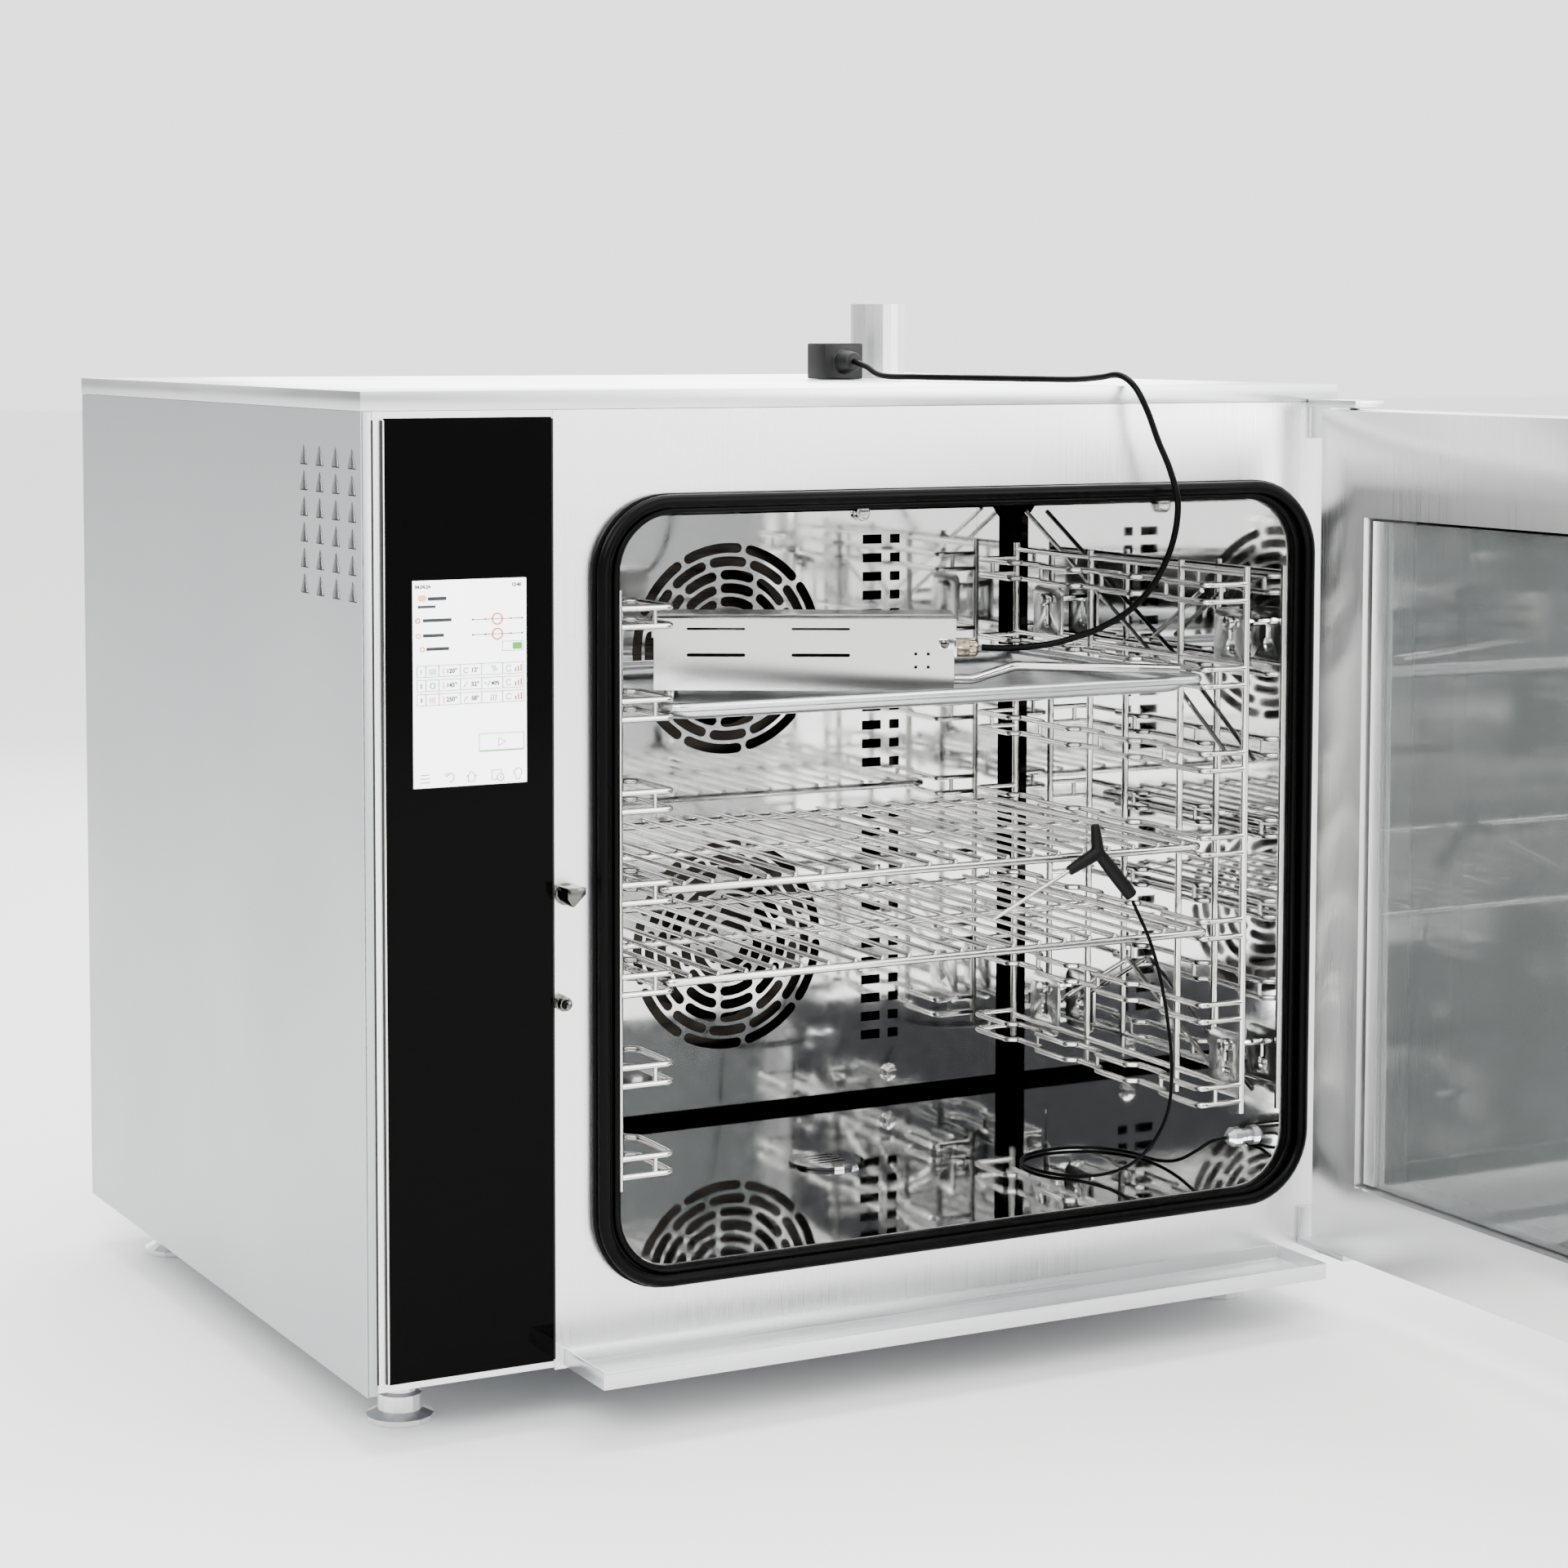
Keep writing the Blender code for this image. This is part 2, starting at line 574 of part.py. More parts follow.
def make_fans():
    for place, z in FAN_Z.items():
        axis = bpy.data.objects.new(f"fan_{place}_axis", None)
        PARTS.objects.link(axis)
        axis.parent = DATUM
        axis.location = Vector((FAN_X, 0, z)) * MM
        disc = rod("Y", (0, 480, 0), 2.5, WHEEL_R, 24)
        hub = rod("Y", (0, 450, 0), 78, 8.0, 12)
        boss = rod("Y", (0, 452, 0), 30, 20.0, 12)
        outer = rod("Y", (0, 420, 0), 2.0, WHEEL_R, 24)
        cut(outer, rod("Y", (0, 415, 0), 12, 72.0, 24))
        blades = []
        for i in range(BLADES):
            blade = block((74, 101), (420.5, 481), (-1.0, 1.0))
            blade.matrix_world = Matrix.Rotation(2 * math.pi * i / BLADES, 4, "Y") @ blade.matrix_world
            blades.append(settle(blade))
        join(disc, outer, hub, boss, *blades)
        finish(smooth(disc, 30), f"fan_wheel_{place}", BRUSHED, axis)
        motor = rod("Y", (FAN_X, 516, z), 84, 52.0, 24)
        flange = block((FAN_X - 62, FAN_X + 62), (510, 517), (z - 62, z + 62))
        join(motor, flange, rod("Y", (FAN_X, 599, z), 14, 20, 16))
        cut(motor, rod("Y", (FAN_X, 500, z), 40, 9.5, 16))
        finish(smooth(motor), f"fan_motor_{place}", CAST)
        coil = []
        for i in range(25):
            angle = math.radians(-50 + 340 * i / 24)
            coil.append((FAN_X + 122 * math.cos(angle), 452.0, z + 122 * math.sin(angle)))
        first = (FAN_X + 60 + 24, 452.0, z - 95)
        last = (FAN_X + 60, 452.0, z - 95)
        start = [(first[0], 530.0, first[2]), (first[0], 452.0, first[2])]
        end = [(last[0], 452.0, last[2]), (last[0], 530.0, last[2])]
        finish(smooth(wire(start + coil + end, 4.0)), f"heating_element_{place}", WIRE)


def make_steam():
    boiler = rod("Z", (-175, STEAM[0], -450), 270, 58.0, 24)
    join(boiler, rod("Z", (-175, STEAM[0], -181), 14, 14, 12), rod("Z", (-175, STEAM[0], -466), 17, 30, 16))
    corner = STEAM[1]
    route = [(-175, STEAM[0], -170), (-175, STEAM[0], corner - 22), (-168, STEAM[0], corner - 6)]
    route += [(-150, STEAM[0], corner), (CAV_X[0] + 6, STEAM[0], corner)]
    join(boiler, wire(route, 8.0, 2))
    finish(smooth(boiler), "steam_generator", BRUSHED)


def make_drain():
    low = CAV_Z[0] - SHEET - GAP
    sump = rod("Z", (*DRAIN, low - 34), 34, 30, 20)
    cut(sump, rod("Z", (*DRAIN, low - 30), 40, 24, 20))
    x, y = DRAIN
    bends = [(x, y + 27, low - 18), (x, y + 60, low - 22), (x, y + 120, DRAIN_EXIT_Z), (x, 668, DRAIN_EXIT_Z)]
    join(sump, wire(bends, 13.0, 2))
    finish(smooth(sump), "drain_pipe", BRUSHED)
    strainer = rod("Z", (*DRAIN, CAV_Z[0] + GAP), 2.5, 32.0, 24)
    slots = [block((x - 14, x + 14), (y - 12 + 8 * i, y - 9 + 8 * i), (-500, -490)) for i in range(4)]
    cut(strainer, *slots)
    finish(strainer, "drain_strainer", POLISHED)


def make_exhaust():
    pipe = rod("Z", (*EXHAUST, CAV_Z[1] - 3), 160, EXHAUST_R, 20)
    bore = rod("Z", (*EXHAUST, CAV_Z[1] - 10), 180, EXHAUST_R - 2, 20)
    spindle_hole = rod("X", (EXHAUST[0] - 40, EXHAUST[1], FLAP_Z), 80, 3.2, 8)
    cut(pipe, bore, spindle_hole)
    collar = rod("Z", (*EXHAUST, CASE_Z[1] + GAP), 4, 36, 20)
    cut(collar, rod("Z", (*EXHAUST, CASE_Z[1] - 5), 12, 24, 20))
    join(pipe, collar)
    finish(smooth(pipe), "exhaust_pipe", BRUSHED)
    axis = bpy.data.objects.new("flap_axis", None)
    PARTS.objects.link(axis)
    axis.parent = DATUM
    axis.location = Vector((*EXHAUST, FLAP_Z)) * MM
    flap = rod("Z", (0, 0, -0.8), 1.6, 21.5, 20)
    join(flap, rod("X", (-34, 0, 0), 68, 2.5, 8))
    finish(flap, "exhaust_flap", WIRE, axis)


def make_cooler():
    x, z = COOLER
    y = (600.0, 625.0)
    frame = block((x - 46, x + 46), y, (z - 46, z + 46))
    cut(frame, rod("Y", (x, y[0] - 5, z), 40, 42.5, 28))
    arm = block((x - 44, x + 44), (y[1] - 3, y[1]), (z - 2, z + 2))
    join(frame, arm, rod("Y", (x, y[1] - 3, z), 3, 16, 16))
    finish(frame, "cooling_fan_frame", PLASTIC)
    axis = bpy.data.objects.new("cooling_fan_axis", None)
    PARTS.objects.link(axis)
    axis.parent = DATUM
    axis.location = Vector((x, 0, z)) * MM
    hub = rod("Y", (0, y[0] + 1, 0), 20, 18, 16)
    blades = []
    for i in range(7):
        blade = block((15, 40), (y[0] + 2, y[0] + 19), (-1, 1))
        turn = Matrix.Rotation(2 * math.pi * i / 7, 4, "Y")
        lean = Matrix.Rotation(math.radians(20), 4, "X")
        pivot = Matrix.Translation(Vector((0, y[0] + 10.5, 0)) * MM)
        blade.matrix_world = turn @ pivot @ lean @ pivot.inverted()
        blades.append(settle(blade))
    join(hub, *blades)
    finish(hub, "cooling_fan_rotor", PLASTIC, axis)


# ---------------------------------------------------------------- racks, shelves, tray

def make_racks():
    for side, rail, post in zip(("left", "right"), RAIL_X, POST_X):
        out = 1 if post > rail else -1
        posts = [(post, y) for y in POST_Y[side]]
        low = -PITCH * (LEVELS - 1) - RAIL_DROP - 10
        frame = rod("Z", (*posts[0], low), 14 - low, 3.0, 6)
        tools = [rod("Z", (x, y, low), 14 - low, 3.0, 6) for x, y in posts[1:]]
        for level in range(LEVELS):
            for drop in (0.0, RAIL_DROP):
                z = -PITCH * level - drop
                rail_route = [(post, 0, z), (rail, 0, z), (rail, RAIL_BACK, z), (post, RAIL_BACK, z)]
                tools.append(wire(rail_route, ROD_R, 0))
            low_z = -PITCH * level - RAIL_DROP
            tools += [rod("Z", (rail + out * 15, y, low_z), RAIL_DROP, 2.0, 4) for y in (0, RAIL_BACK)]
        for z in (8.0, *sorted({z - 34 for y, z in STUDS})):
            tools.append(wire([(post, -1, z), (post, RAIL_BACK + 1, z)], ROD_R, 0))
        for y, z in STUDS:
            plate = block((post - 1.5, post + 1.5), (y - 22, y + 24), (z - 42, z + 12))
            slot = block((post - 5, post + 5), (y - 4, y + 4), (z - 24, z + 4))
            tools.append(cut(plate, slot))
        join(frame, *tools)
        finish(smooth(frame), f"rack_{side}", WIRE)


def make_shelf(name, level, front):
    axis_z = -PITCH * level - RAIL_DROP + ROD_R + SHELF_ROD_R + GAP
    r = SHELF_ROD_R
    back = front + SHELF_DEPTH
    shelf = wire([(SHELF_X[0], front, axis_z), (SHELF_X[1], front, axis_z)], r)
    tools = [wire([(SHELF_X[0], back, axis_z), (SHELF_X[1], back, axis_z)], r)]
    for x in (SHELF_X[0] + r, SHELF_X[1] - r):
        tools.append(wire([(x, front - 0.5, axis_z), (x, back + 0.5, axis_z)], r * 0.98))
    for i in range(SHELF_WIRES):
        x = WIRE_FIRST_X + WIRE_PITCH * i
        z = axis_z + r + SHELF_WIRE_R - 0.7
        tools.append(wire([(x, front - 3, z), (x, back + 3, z)], SHELF_WIRE_R, 0))
    join(shelf, *tools)
    return finish(smooth(shelf), name, WIRE)


def make_tray():
    z = TRAY_RIM_Z
    rim = block(SHELF_X, TRAY_Y, (z, z + TRAY_RIM))
    cut(rim, block(inset(SHELF_X, 1.2), inset(TRAY_Y, 1.2), (z + 1.2, z + 10)))
    body_x = (4.0, 484.0)
    body_y = (TRAY_Y[0] + 9, TRAY_Y[1] - 9)
    body = block(body_x, body_y, (z - TRAY_DEPTH, z + 0.6))
    join(rim, body)
    cut(rim, block(inset(body_x, 1.2), inset(body_y, 1.2), (z - TRAY_DEPTH + 1.2, z + 10)))
    finish(rim, "baking_tray", BRUSHED)


def smoker_axis(name, place):
    axis = bpy.data.objects.new(name, None)
    PARTS.objects.link(axis)
    axis.parent = DATUM
    axis.location = Vector(place) * MM
    axis.rotation_euler = (0, 0, math.radians(SMOKER_TURN))
    return axis


def make_smoker():
    """Drawn in its own turned frame: X from the right front corner leftwards is negative."""
    home = smoker_axis("smoker_frame", (*SMOKER_CORNER, 0))
    length, depth = SMOKER_SIZE
    low, top = SMOKER_Z
    wall = SMOKER_SHEET
    body_x = (-length + wall + 0.4, -wall - 0.4)
    body_y = (wall + 0.4, depth - wall - 0.4)
    box = block(body_x, body_y, (low, top - wall - 0.4))
    cut(box, block(inset(body_x, wall), inset(body_y, wall), (low + wall, top + 5)))
    slots = [block((x, x + CHIP_SLOT_LENGTH), (-5, 10), (top - 32, top - 27)) for x in CHIP_SLOT_X]
    slots += [block((x, x + CHIP_SLOT_LENGTH), (-5, 10), (top - 10.5, top - 5.5)) for x in CHIP_SLOT_X]
    slots += [block((x, x + 2.4), (-5, 10), (z, z + 2.4)) for x in (-33, -23) for z in (-49, -59)]
    slots.append(rod("X", (-10, 18, GLAND_Z), 20, 6.3, 12))
    slots.append(rod("X", (-10, *HANDLE_ROUTE[0][1:]), 20, 4.6, 8))
    cut(box, *slots)
    rise, radius = SMOKER_FOOT
    corners = [(x, y) for x in (-length + 14, -14) for y in (14, depth - 14)]
    join(box, *[rod("Z", (x, y, low - rise), rise + 0.6, radius, 10) for x, y in corners])
    finish(box, "smoker_box", BRUSHED, home)

    # the lid hinges on its rear edge, where it has no skirt, so that it lifts clear of the box
    hinge = smoker_axis("smoker_lid_axis", (*SMOKER_CORNER, 0))
    back = Matrix.Rotation(math.radians(SMOKER_TURN), 4, "Z") @ Vector((0, depth, top))
    hinge.location = (Vector((*SMOKER_CORNER, 0)) + back) * MM
    lid = block((-length, 0), (-depth, 0), (-LID_SKIRT, 0))
    cut(lid, block((-length + wall, -wall), (-depth + wall, 5), (-LID_SKIRT - 5, -wall)))
    skirt_y = (-depth - 5, -depth + 5)
    cut(lid, *[block((x, x + CHIP_SLOT_LENGTH), skirt_y, (-10.5, -5.5)) for x in CHIP_SLOT_X])
    finish(lid, "smoker_lid", BRUSHED, hinge)

    flange = [(7.5, 12), (9.5, 11), (9.5, GAP)]
    profile = [(0, 20), (5, 20), (7.5, 17), *flange, (6, GAP), (6, -8), (0, -8)]
    gland = turned(profile, (0, 18, GLAND_Z), "X", 12)
    finish(smooth(gland), "smoker_gland", BRASS, home)
    finish(smooth(wire(HANDLE_ROUTE, 4.0, 2)), "smoker_handle", WIRE, home)


def make_smoker_cable():
    route = smooth_route(SMOKER_ROUTE, 15.5)
    finish(smooth(wire(route, SMOKER_CABLE_R, 1)), "smoker_cable", RUBBER)
    x, y = SOCKET
    top = CASE_Z[1]
    body = block((x - 19, x + 19), (y, y + 34), (top + GAP, top + 32))
    join(body, rod("Y", (x, y - 18, top + 16), 20, 8, 14, tip=11))
    finish(smooth(body), "smoker_socket", PLASTIC)


def make_probe():
    """A black Y-shaped grip with a steel needle, hung from the front rod of its shelf."""
    grip = wire([PROBE_FOOT, PROBE_HUB, PROBE_HEAD], 6.2, 2)
    join(grip, wire([PROBE_HUB, PROBE_NECK], 5.2, 2))
    finish(smooth(grip, 60), "probe_grip", RUBBER)
    step = Vector(PROBE_NECK) - Vector(PROBE_HUB)
    way = step.normalized()
    start = Vector(PROBE_NECK) + way * GAP
    needle = wire([start, start + way * (NEEDLE_LENGTH - 4), start + way * NEEDLE_LENGTH], 1.6, 2)
    finish(smooth(needle), "probe_needle", WIRE)
    cable = smooth_route(PROBE_ROUTE, 11.0)
    finish(smooth(wire(cable, PROBE_CABLE_R, 1)), "probe_cable", RUBBER)
    x, y, z = PROBE_GLAND
    profile = [(0, 24), (4, 24), (8.5, 19), (8.5, 13), (6, 13), (6, 0), (0, 0)]
    gland = turned(profile, (x + 9, y, z), "X", 12)
    mirror = Matrix.Scale(-1, 4, (1, 0, 0))
    gland.matrix_world = Matrix.Translation(Vector((2 * (x + 9) * MM, 0, 0))) @ mirror
    finish(smooth(face_out(settle(gland))), "probe_gland", BRUSHED)


# ---------------------------------------------------------------- latch, switch, gutter, hinges


def make_front_fittings():
    head = block(LATCH_X, (LATCH_FRONT, CASE_Y[0] - GAP), LATCH_WEDGE)
    chamfers = []
    for x, z, degrees in ((LATCH_X[1], LATCH_WEDGE[1] - 5, -43), (LATCH_X[0], LATCH_WEDGE[1] - 8, 56)):
        chamfer = block((-30, 30), (-90, -20), (-20, 0))
        lean = Matrix.Rotation(math.radians(degrees), 4, "Y")
        chamfer.matrix_world = Matrix.Translation(Vector((x, 0, z)) * MM) @ lean
        chamfers.append(settle(chamfer))
    cut(head, *chamfers)
    middle = (LATCH_X[0] + LATCH_X[1]) / 2
    join(head, rod("Y", (middle, -32.8, LATCH_Z + 1), 2.5, 8.5, 16))
    finish(head, "latch_striker", POLISHED)
    x, z = SWITCH
    body = rod("Y", (x, -35.3, z), 5, 6.4, 6)
    join(body, rod("Y", (x, -41, z), 6.2, 5.0, 16))
    cut(body, rod("Y", (x, -60, z), 35, 3.4, 16))
    finish(body, "door_switch_body", POLISHED)
    plunger = turned([(0, -47), (2.2, -46.3), (3, -44), (3, -35), (0, -35)], (x, 0, z), "Y", 16)
    finish(smooth(plunger), "door_switch_plunger", POLISHED)
    gutter = block((-105, 545), (-100, CASE_Y[0] - GAP), (-563, -550))
    cut(gutter, block((-103.5, 543.5), (-98.5, -33), (-561.5, -540)))
    finish(gutter, "drip_gutter", BRUSHED)
    for end, edge, way in (("top", DOOR_Z[1], 1), ("bottom", DOOR_Z[0], -1)):
        z = sorted((edge + way * 2.0, edge + way * 8.0))
        bracket = block((566, 595), (-94, CASE_Y[0] - 1.0), z)
        tab = sorted((edge - way * 24.0, edge + way * 5.0))
        upright = block((567, 587), (-34, CASE_Y[0] - GAP), tab)
        pin_low = min(edge - way * 14.0, edge + way * 5.0)
        join(bracket, upright, rod("Z", (*HINGE, pin_low), 19, 4.0, 16))
        finish(bracket, f"door_hinge_{end}", BRUSHED)


# ---------------------------------------------------------------- door

def from_hinge(x, y):
    """Limits drawn closed, moved so that the hinge axis is at zero."""
    return (x[0] - HINGE[0], x[1] - HINGE[0]), (y[0] - HINGE[1], y[1] - HINGE[1])


def door_block(x, y, z):
    near_x, near_y = from_hinge(x, y)
    return block(near_x, near_y, z)


def door_rod(axis, start, length, radius, sides=16):
    return rod(axis, (start[0] - HINGE[0], start[1] - HINGE[1], start[2]), length, radius, sides)


def make_door():
    axis = bpy.data.objects.new("door_axis", None)
    PARTS.objects.link(axis)
    axis.parent = DATUM
    axis.location = Vector((*HINGE, 0)) * MM
    axis.rotation_euler = (0, 0, math.radians(DOOR_REST_ANGLE))
    glass_y = (DOOR_Y[0], DOOR_Y[0] + 5)
    shaft = (HANDLE_X, -130, LATCH_Z)

    glass = door_block(DOOR_X, glass_y, DOOR_Z)
    cut(glass, door_rod("Y", shaft, 60, 7.0))
    finish(glass, "door_outer_glass", BLACK_GLASS, axis)

    frame = door_block(DOOR_X, (glass_y[1] + GAP, DOOR_Y[1]), DOOR_Z)
    tools = [
        door_block(WINDOW_X, (-120, -20), WINDOW_Z),
        door_rod("Y", shaft, 60, 7.0),
        door_block((-120, -58), (-82, -20), (LATCH_Z - 26, LATCH_Z + 26)),
        door_rod("Y", (SWITCH[0], -51.5, SWITCH[1]), 20, 4.0),
        door_rod("Z", (*HINGE, DOOR_Z[0] - 5), 21, 4.4),
        door_rod("Z", (*HINGE, DOOR_Z[1] - 16), 21, 4.4),
    ]
    cut(frame, *tools)
    finish(frame, "door_frame", BRUSHED, axis)

    boss = door_block((HANDLE_X - 22, HANDLE_X + 22), (-116, DOOR_Y[0] - GAP), (LATCH_Z - 40, LATCH_Z + 40))
    cut(boss, door_rod("Y", shaft, 60, 7.0))
    finish(boss, "handle_mount", CAST, axis)

    turn = bpy.data.objects.new("handle_axis", None)
    PARTS.objects.link(turn)
    turn.parent = axis
    turn.location = Vector((HANDLE_X - HINGE[0], -HINGE[1], LATCH_Z)) * MM
    hub = rod("Y", (0, -150, 0), 33.7, 15, 20)
    bar = block((-11, 11), (-168, -149), (-185, 16))
    shaft = rod("Y", (0, -118, 0), 71, 5.5, 12)
    cam = block((-20, 5), (-51, -47.2), (-6, 6))
    join(hub, bar, shaft, cam)
    finish(smooth(hub), "door_handle", PLASTIC, turn)

    swing = bpy.data.objects.new("pane_axis", None)
    PARTS.objects.link(swing)
    swing.parent = axis
    swing.location = Vector((PANE_AXIS[0] - HINGE[0], PANE_AXIS[1] - HINGE[1], 0)) * MM
    left = WINDOW_X[0] + 3 - PANE_AXIS[0]
    pane_z = inset(WINDOW_Z, 3.0)
    finish(block((left, -10.3), (-2.5, 2.5), pane_z), "door_inner_glass", CLEAR_GLASS, swing)
    holder = block((-10, 3), (-3, 3), pane_z)
    finish(holder, "inner_glass_hinge_strip", BRUSHED, swing)


def set_on_feet():
    """Move the datum so that the origin is under the middle of the whole oven."""
    bpy.context.view_layer.update()
    corners = []
    for obj in PARTS.objects:
        if obj.type == "MESH":
            corners += [obj.matrix_world @ Vector(corner) for corner in obj.bound_box]
    low = [min(corner[i] for corner in corners) for i in range(3)]
    high = [max(corner[i] for corner in corners) for i in range(3)]
    DATUM.location = (-(low[0] + high[0]) / 2, -(low[1] + high[1]) / 2, -low[2])
    bpy.context.view_layer.update()


make_base()
make_feet()
make_side_panels()
make_top_panel()
make_rear_panel()
make_rear_fittings()
make_control_column()
make_front_frame()
make_cavity()
make_insulation()
make_gasket()
make_baffle()
make_fans()
make_steam()
make_drain()
make_exhaust()
make_cooler()
make_racks()
make_shelf("wire_shelf_upper", 3, 10.0)
make_shelf("wire_shelf_lower", 4, 0.0)
make_tray()
make_smoker()
make_smoker_cable()
make_probe()
make_front_fittings()
make_door()
set_on_feet()
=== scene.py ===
import json
import math

import bpy
from mathutils import Matrix, Vector


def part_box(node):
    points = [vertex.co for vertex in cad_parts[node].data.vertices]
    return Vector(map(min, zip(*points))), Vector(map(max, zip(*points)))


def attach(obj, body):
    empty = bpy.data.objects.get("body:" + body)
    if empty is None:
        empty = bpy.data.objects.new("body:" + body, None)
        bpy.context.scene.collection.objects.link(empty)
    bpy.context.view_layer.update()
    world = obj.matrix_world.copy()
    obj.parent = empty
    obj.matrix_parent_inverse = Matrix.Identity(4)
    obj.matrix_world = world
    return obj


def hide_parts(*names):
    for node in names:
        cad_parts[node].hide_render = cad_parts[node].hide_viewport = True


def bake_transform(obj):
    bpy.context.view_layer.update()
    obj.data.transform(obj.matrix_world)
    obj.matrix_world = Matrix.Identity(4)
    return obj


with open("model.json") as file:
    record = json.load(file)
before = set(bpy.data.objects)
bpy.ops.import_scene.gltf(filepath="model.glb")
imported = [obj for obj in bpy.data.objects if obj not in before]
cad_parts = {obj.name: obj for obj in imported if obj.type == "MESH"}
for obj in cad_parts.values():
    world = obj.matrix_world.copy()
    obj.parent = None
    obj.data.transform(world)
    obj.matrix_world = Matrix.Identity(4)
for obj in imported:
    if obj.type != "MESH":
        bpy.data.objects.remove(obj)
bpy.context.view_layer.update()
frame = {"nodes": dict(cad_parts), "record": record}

# ------------------------------------------------------------ datum and sizes, in millimetres
# The drawing datum is the front inner corner of the left rack's top rail, as in the CAD.
MM = 0.001
frame_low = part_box("front_frame")[0]
frame_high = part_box("front_frame")[1]
DATUM = Vector((frame_low[0] + 0.1127, frame_low[1] + 0.030, frame_high[2] - 0.1506))
GAP = 0.3
PITCH = 70.0
LEVELS = 7
RAIL_DROP = 14.1
RAIL_X = (0.0, 488.0)
POST_X = (-45.0, 529.0)
RAIL_BACK = 361.0
FAN_X = 249.5
FAN_Z = (-75.0, -342.0)
BAFFLE_Y = 397.0
SCREEN_LEFT = -223.7
SCREEN_TOP = 28.5
SCREEN_FRONT = -32.0
SMOKER_CORNER = Vector((267.5, 30.0, 0.0))
SMOKER_TURN = math.radians(-28.0)


def at(x, y, z):
    """A drawing point, in metres in the oven's frame."""
    return DATUM + Vector((x, y, z)) * MM


# ------------------------------------------------------------ camera and studio

def make_camera():
    data = bpy.data.cameras.new("camera")
    data.sensor_width = 36.0
    data.lens = 80.12
    data.shift_y = -0.125
    data.clip_end = 50.0
    camera = bpy.data.objects.new("camera", data)
    bpy.context.scene.collection.objects.link(camera)
    camera.location = at(-1160.1, -2364.4, 212.6)
    camera.rotation_euler = (math.radians(90 - 4.306), math.radians(-0.124), math.radians(-27.956))
    bpy.context.scene.camera = camera


def area_light(name, place, aim, size, power):
    data = bpy.data.lights.new(name, "AREA")
    data.shape = "RECTANGLE"
    data.size = size[0]
    data.size_y = size[1]
    data.energy = power
    light = bpy.data.objects.new(name, data)
    bpy.context.scene.collection.objects.link(light)
    light.location = place
    light.rotation_euler = (Vector(aim) - Vector(place)).to_track_quat("-Z", "Y").to_euler()


def make_studio():
    bpy.ops.mesh.primitive_plane_add(size=60.0, location=(0, 0, -0.0005))
    floor = bpy.context.object
    floor.name = "floor"
    floor.data.materials.append(plain("floor_paper", "#efefee", 0.9))
    area_light("key", (-2.6, -2.8, 3.0), (0, 0, 0.4), (2.4, 1.8), 230)
    area_light("fill", (2.4, -3.2, 1.8), (0, 0, 0.4), (2.0, 2.0), 110)
    area_light("top", (0.0, 0.3, 3.4), (0, 0.2, 0.4), (2.6, 2.0), 150)
    area_light("back", (1.5, 3.2, 1.8), (0, 0.2, 0.4), (2.0, 1.6), 80)
    world = bpy.data.worlds.new("studio")
    bpy.context.scene.world = world
    world.use_nodes = True
    tree = world.node_tree
    tree.nodes.clear()
    coords = node(tree, "TexCoord")
    spread = node(tree, "Mapping", links={"Vector": coords.outputs["Generated"]}, Scale=(1.0, 1.0, 0.12))
    flags = node(tree, "TexNoise", links={"Vector": spread}, Scale=2.6, Detail=1.0)
    # dark studio walls stand low on the left, so that bent metal shows a dark side
    way = node(tree, "SeparateXYZ", links={"Vector": coords.outputs["Generated"]})
    side = node(
        tree, "MapRange", links={"Value": way.outputs["X"]}, From_Min=-0.55, From_Max=0.3, To_Min=-0.22,
        To_Max=0.16
    )
    rise = node(tree, "Math", links={0: way.outputs["Z"]}, operation="ABSOLUTE")
    lift = node(tree, "Math", links={0: rise, 2: side}, operation="MULTIPLY_ADD")
    lift.inputs[1].default_value = 0.35
    tone = node(tree, "Math", links={0: lift, 1: flags}, operation="ADD")
    ramp = node(tree, "ValToRGB", links={"Fac": tone})
    ramp.color_ramp.elements[0].position = 0.46
    ramp.color_ramp.elements[0].color = (0.02, 0.02, 0.022, 1)
    ramp.color_ramp.elements[1].position = 0.56
    ramp.color_ramp.elements[1].color = (1.0, 1.0, 1.0, 1)
    seen = node(tree, "Background", Color=colour("#ffffff"), Strength=2.3)
    mirrored = node(tree, "Background", links={"Color": ramp.outputs["Color"]}, Strength=3.4)
    path = node(tree, "LightPath")
    mix = node(tree, "MixShader", links={"Fac": path.outputs["Is Glossy Ray"], 1: seen, 2: mirrored})
    node(tree, "OutputWorld", links={"Surface": mix})


# ------------------------------------------------------------ finishes

def colour(text):
    """An sRGB hex colour as a linear one."""
    parts = [int(text[i:i + 2], 16) / 255 for i in (1, 3, 5)]
    return (*[p / 12.92 if p <= 0.04045 else ((p + 0.055) / 1.055) ** 2.4 for p in parts], 1.0)


def node(tree, kind, links=None, **settings):
    """Adds a node with its settings and links; where a link names a node, its first output is meant."""
    made = tree.nodes.new("ShaderNode" + kind)
    for name, value in settings.items():
        socket = name.replace("_", " ")
        if socket in made.inputs:
            made.inputs[socket].default_value = value
        else:
            setattr(made, name, value)
    for name, source in (links or {}).items():
        tree.links.new(getattr(source, "outputs", [source])[0], made.inputs[name])
    return made


def blank(name):
    made = bpy.data.materials.new(name)
    made.use_nodes = True
    made.node_tree.nodes.clear()
    return made, made.node_tree


def close(tree, shader):
    node(tree, "OutputMaterial", links={"Surface": shader})


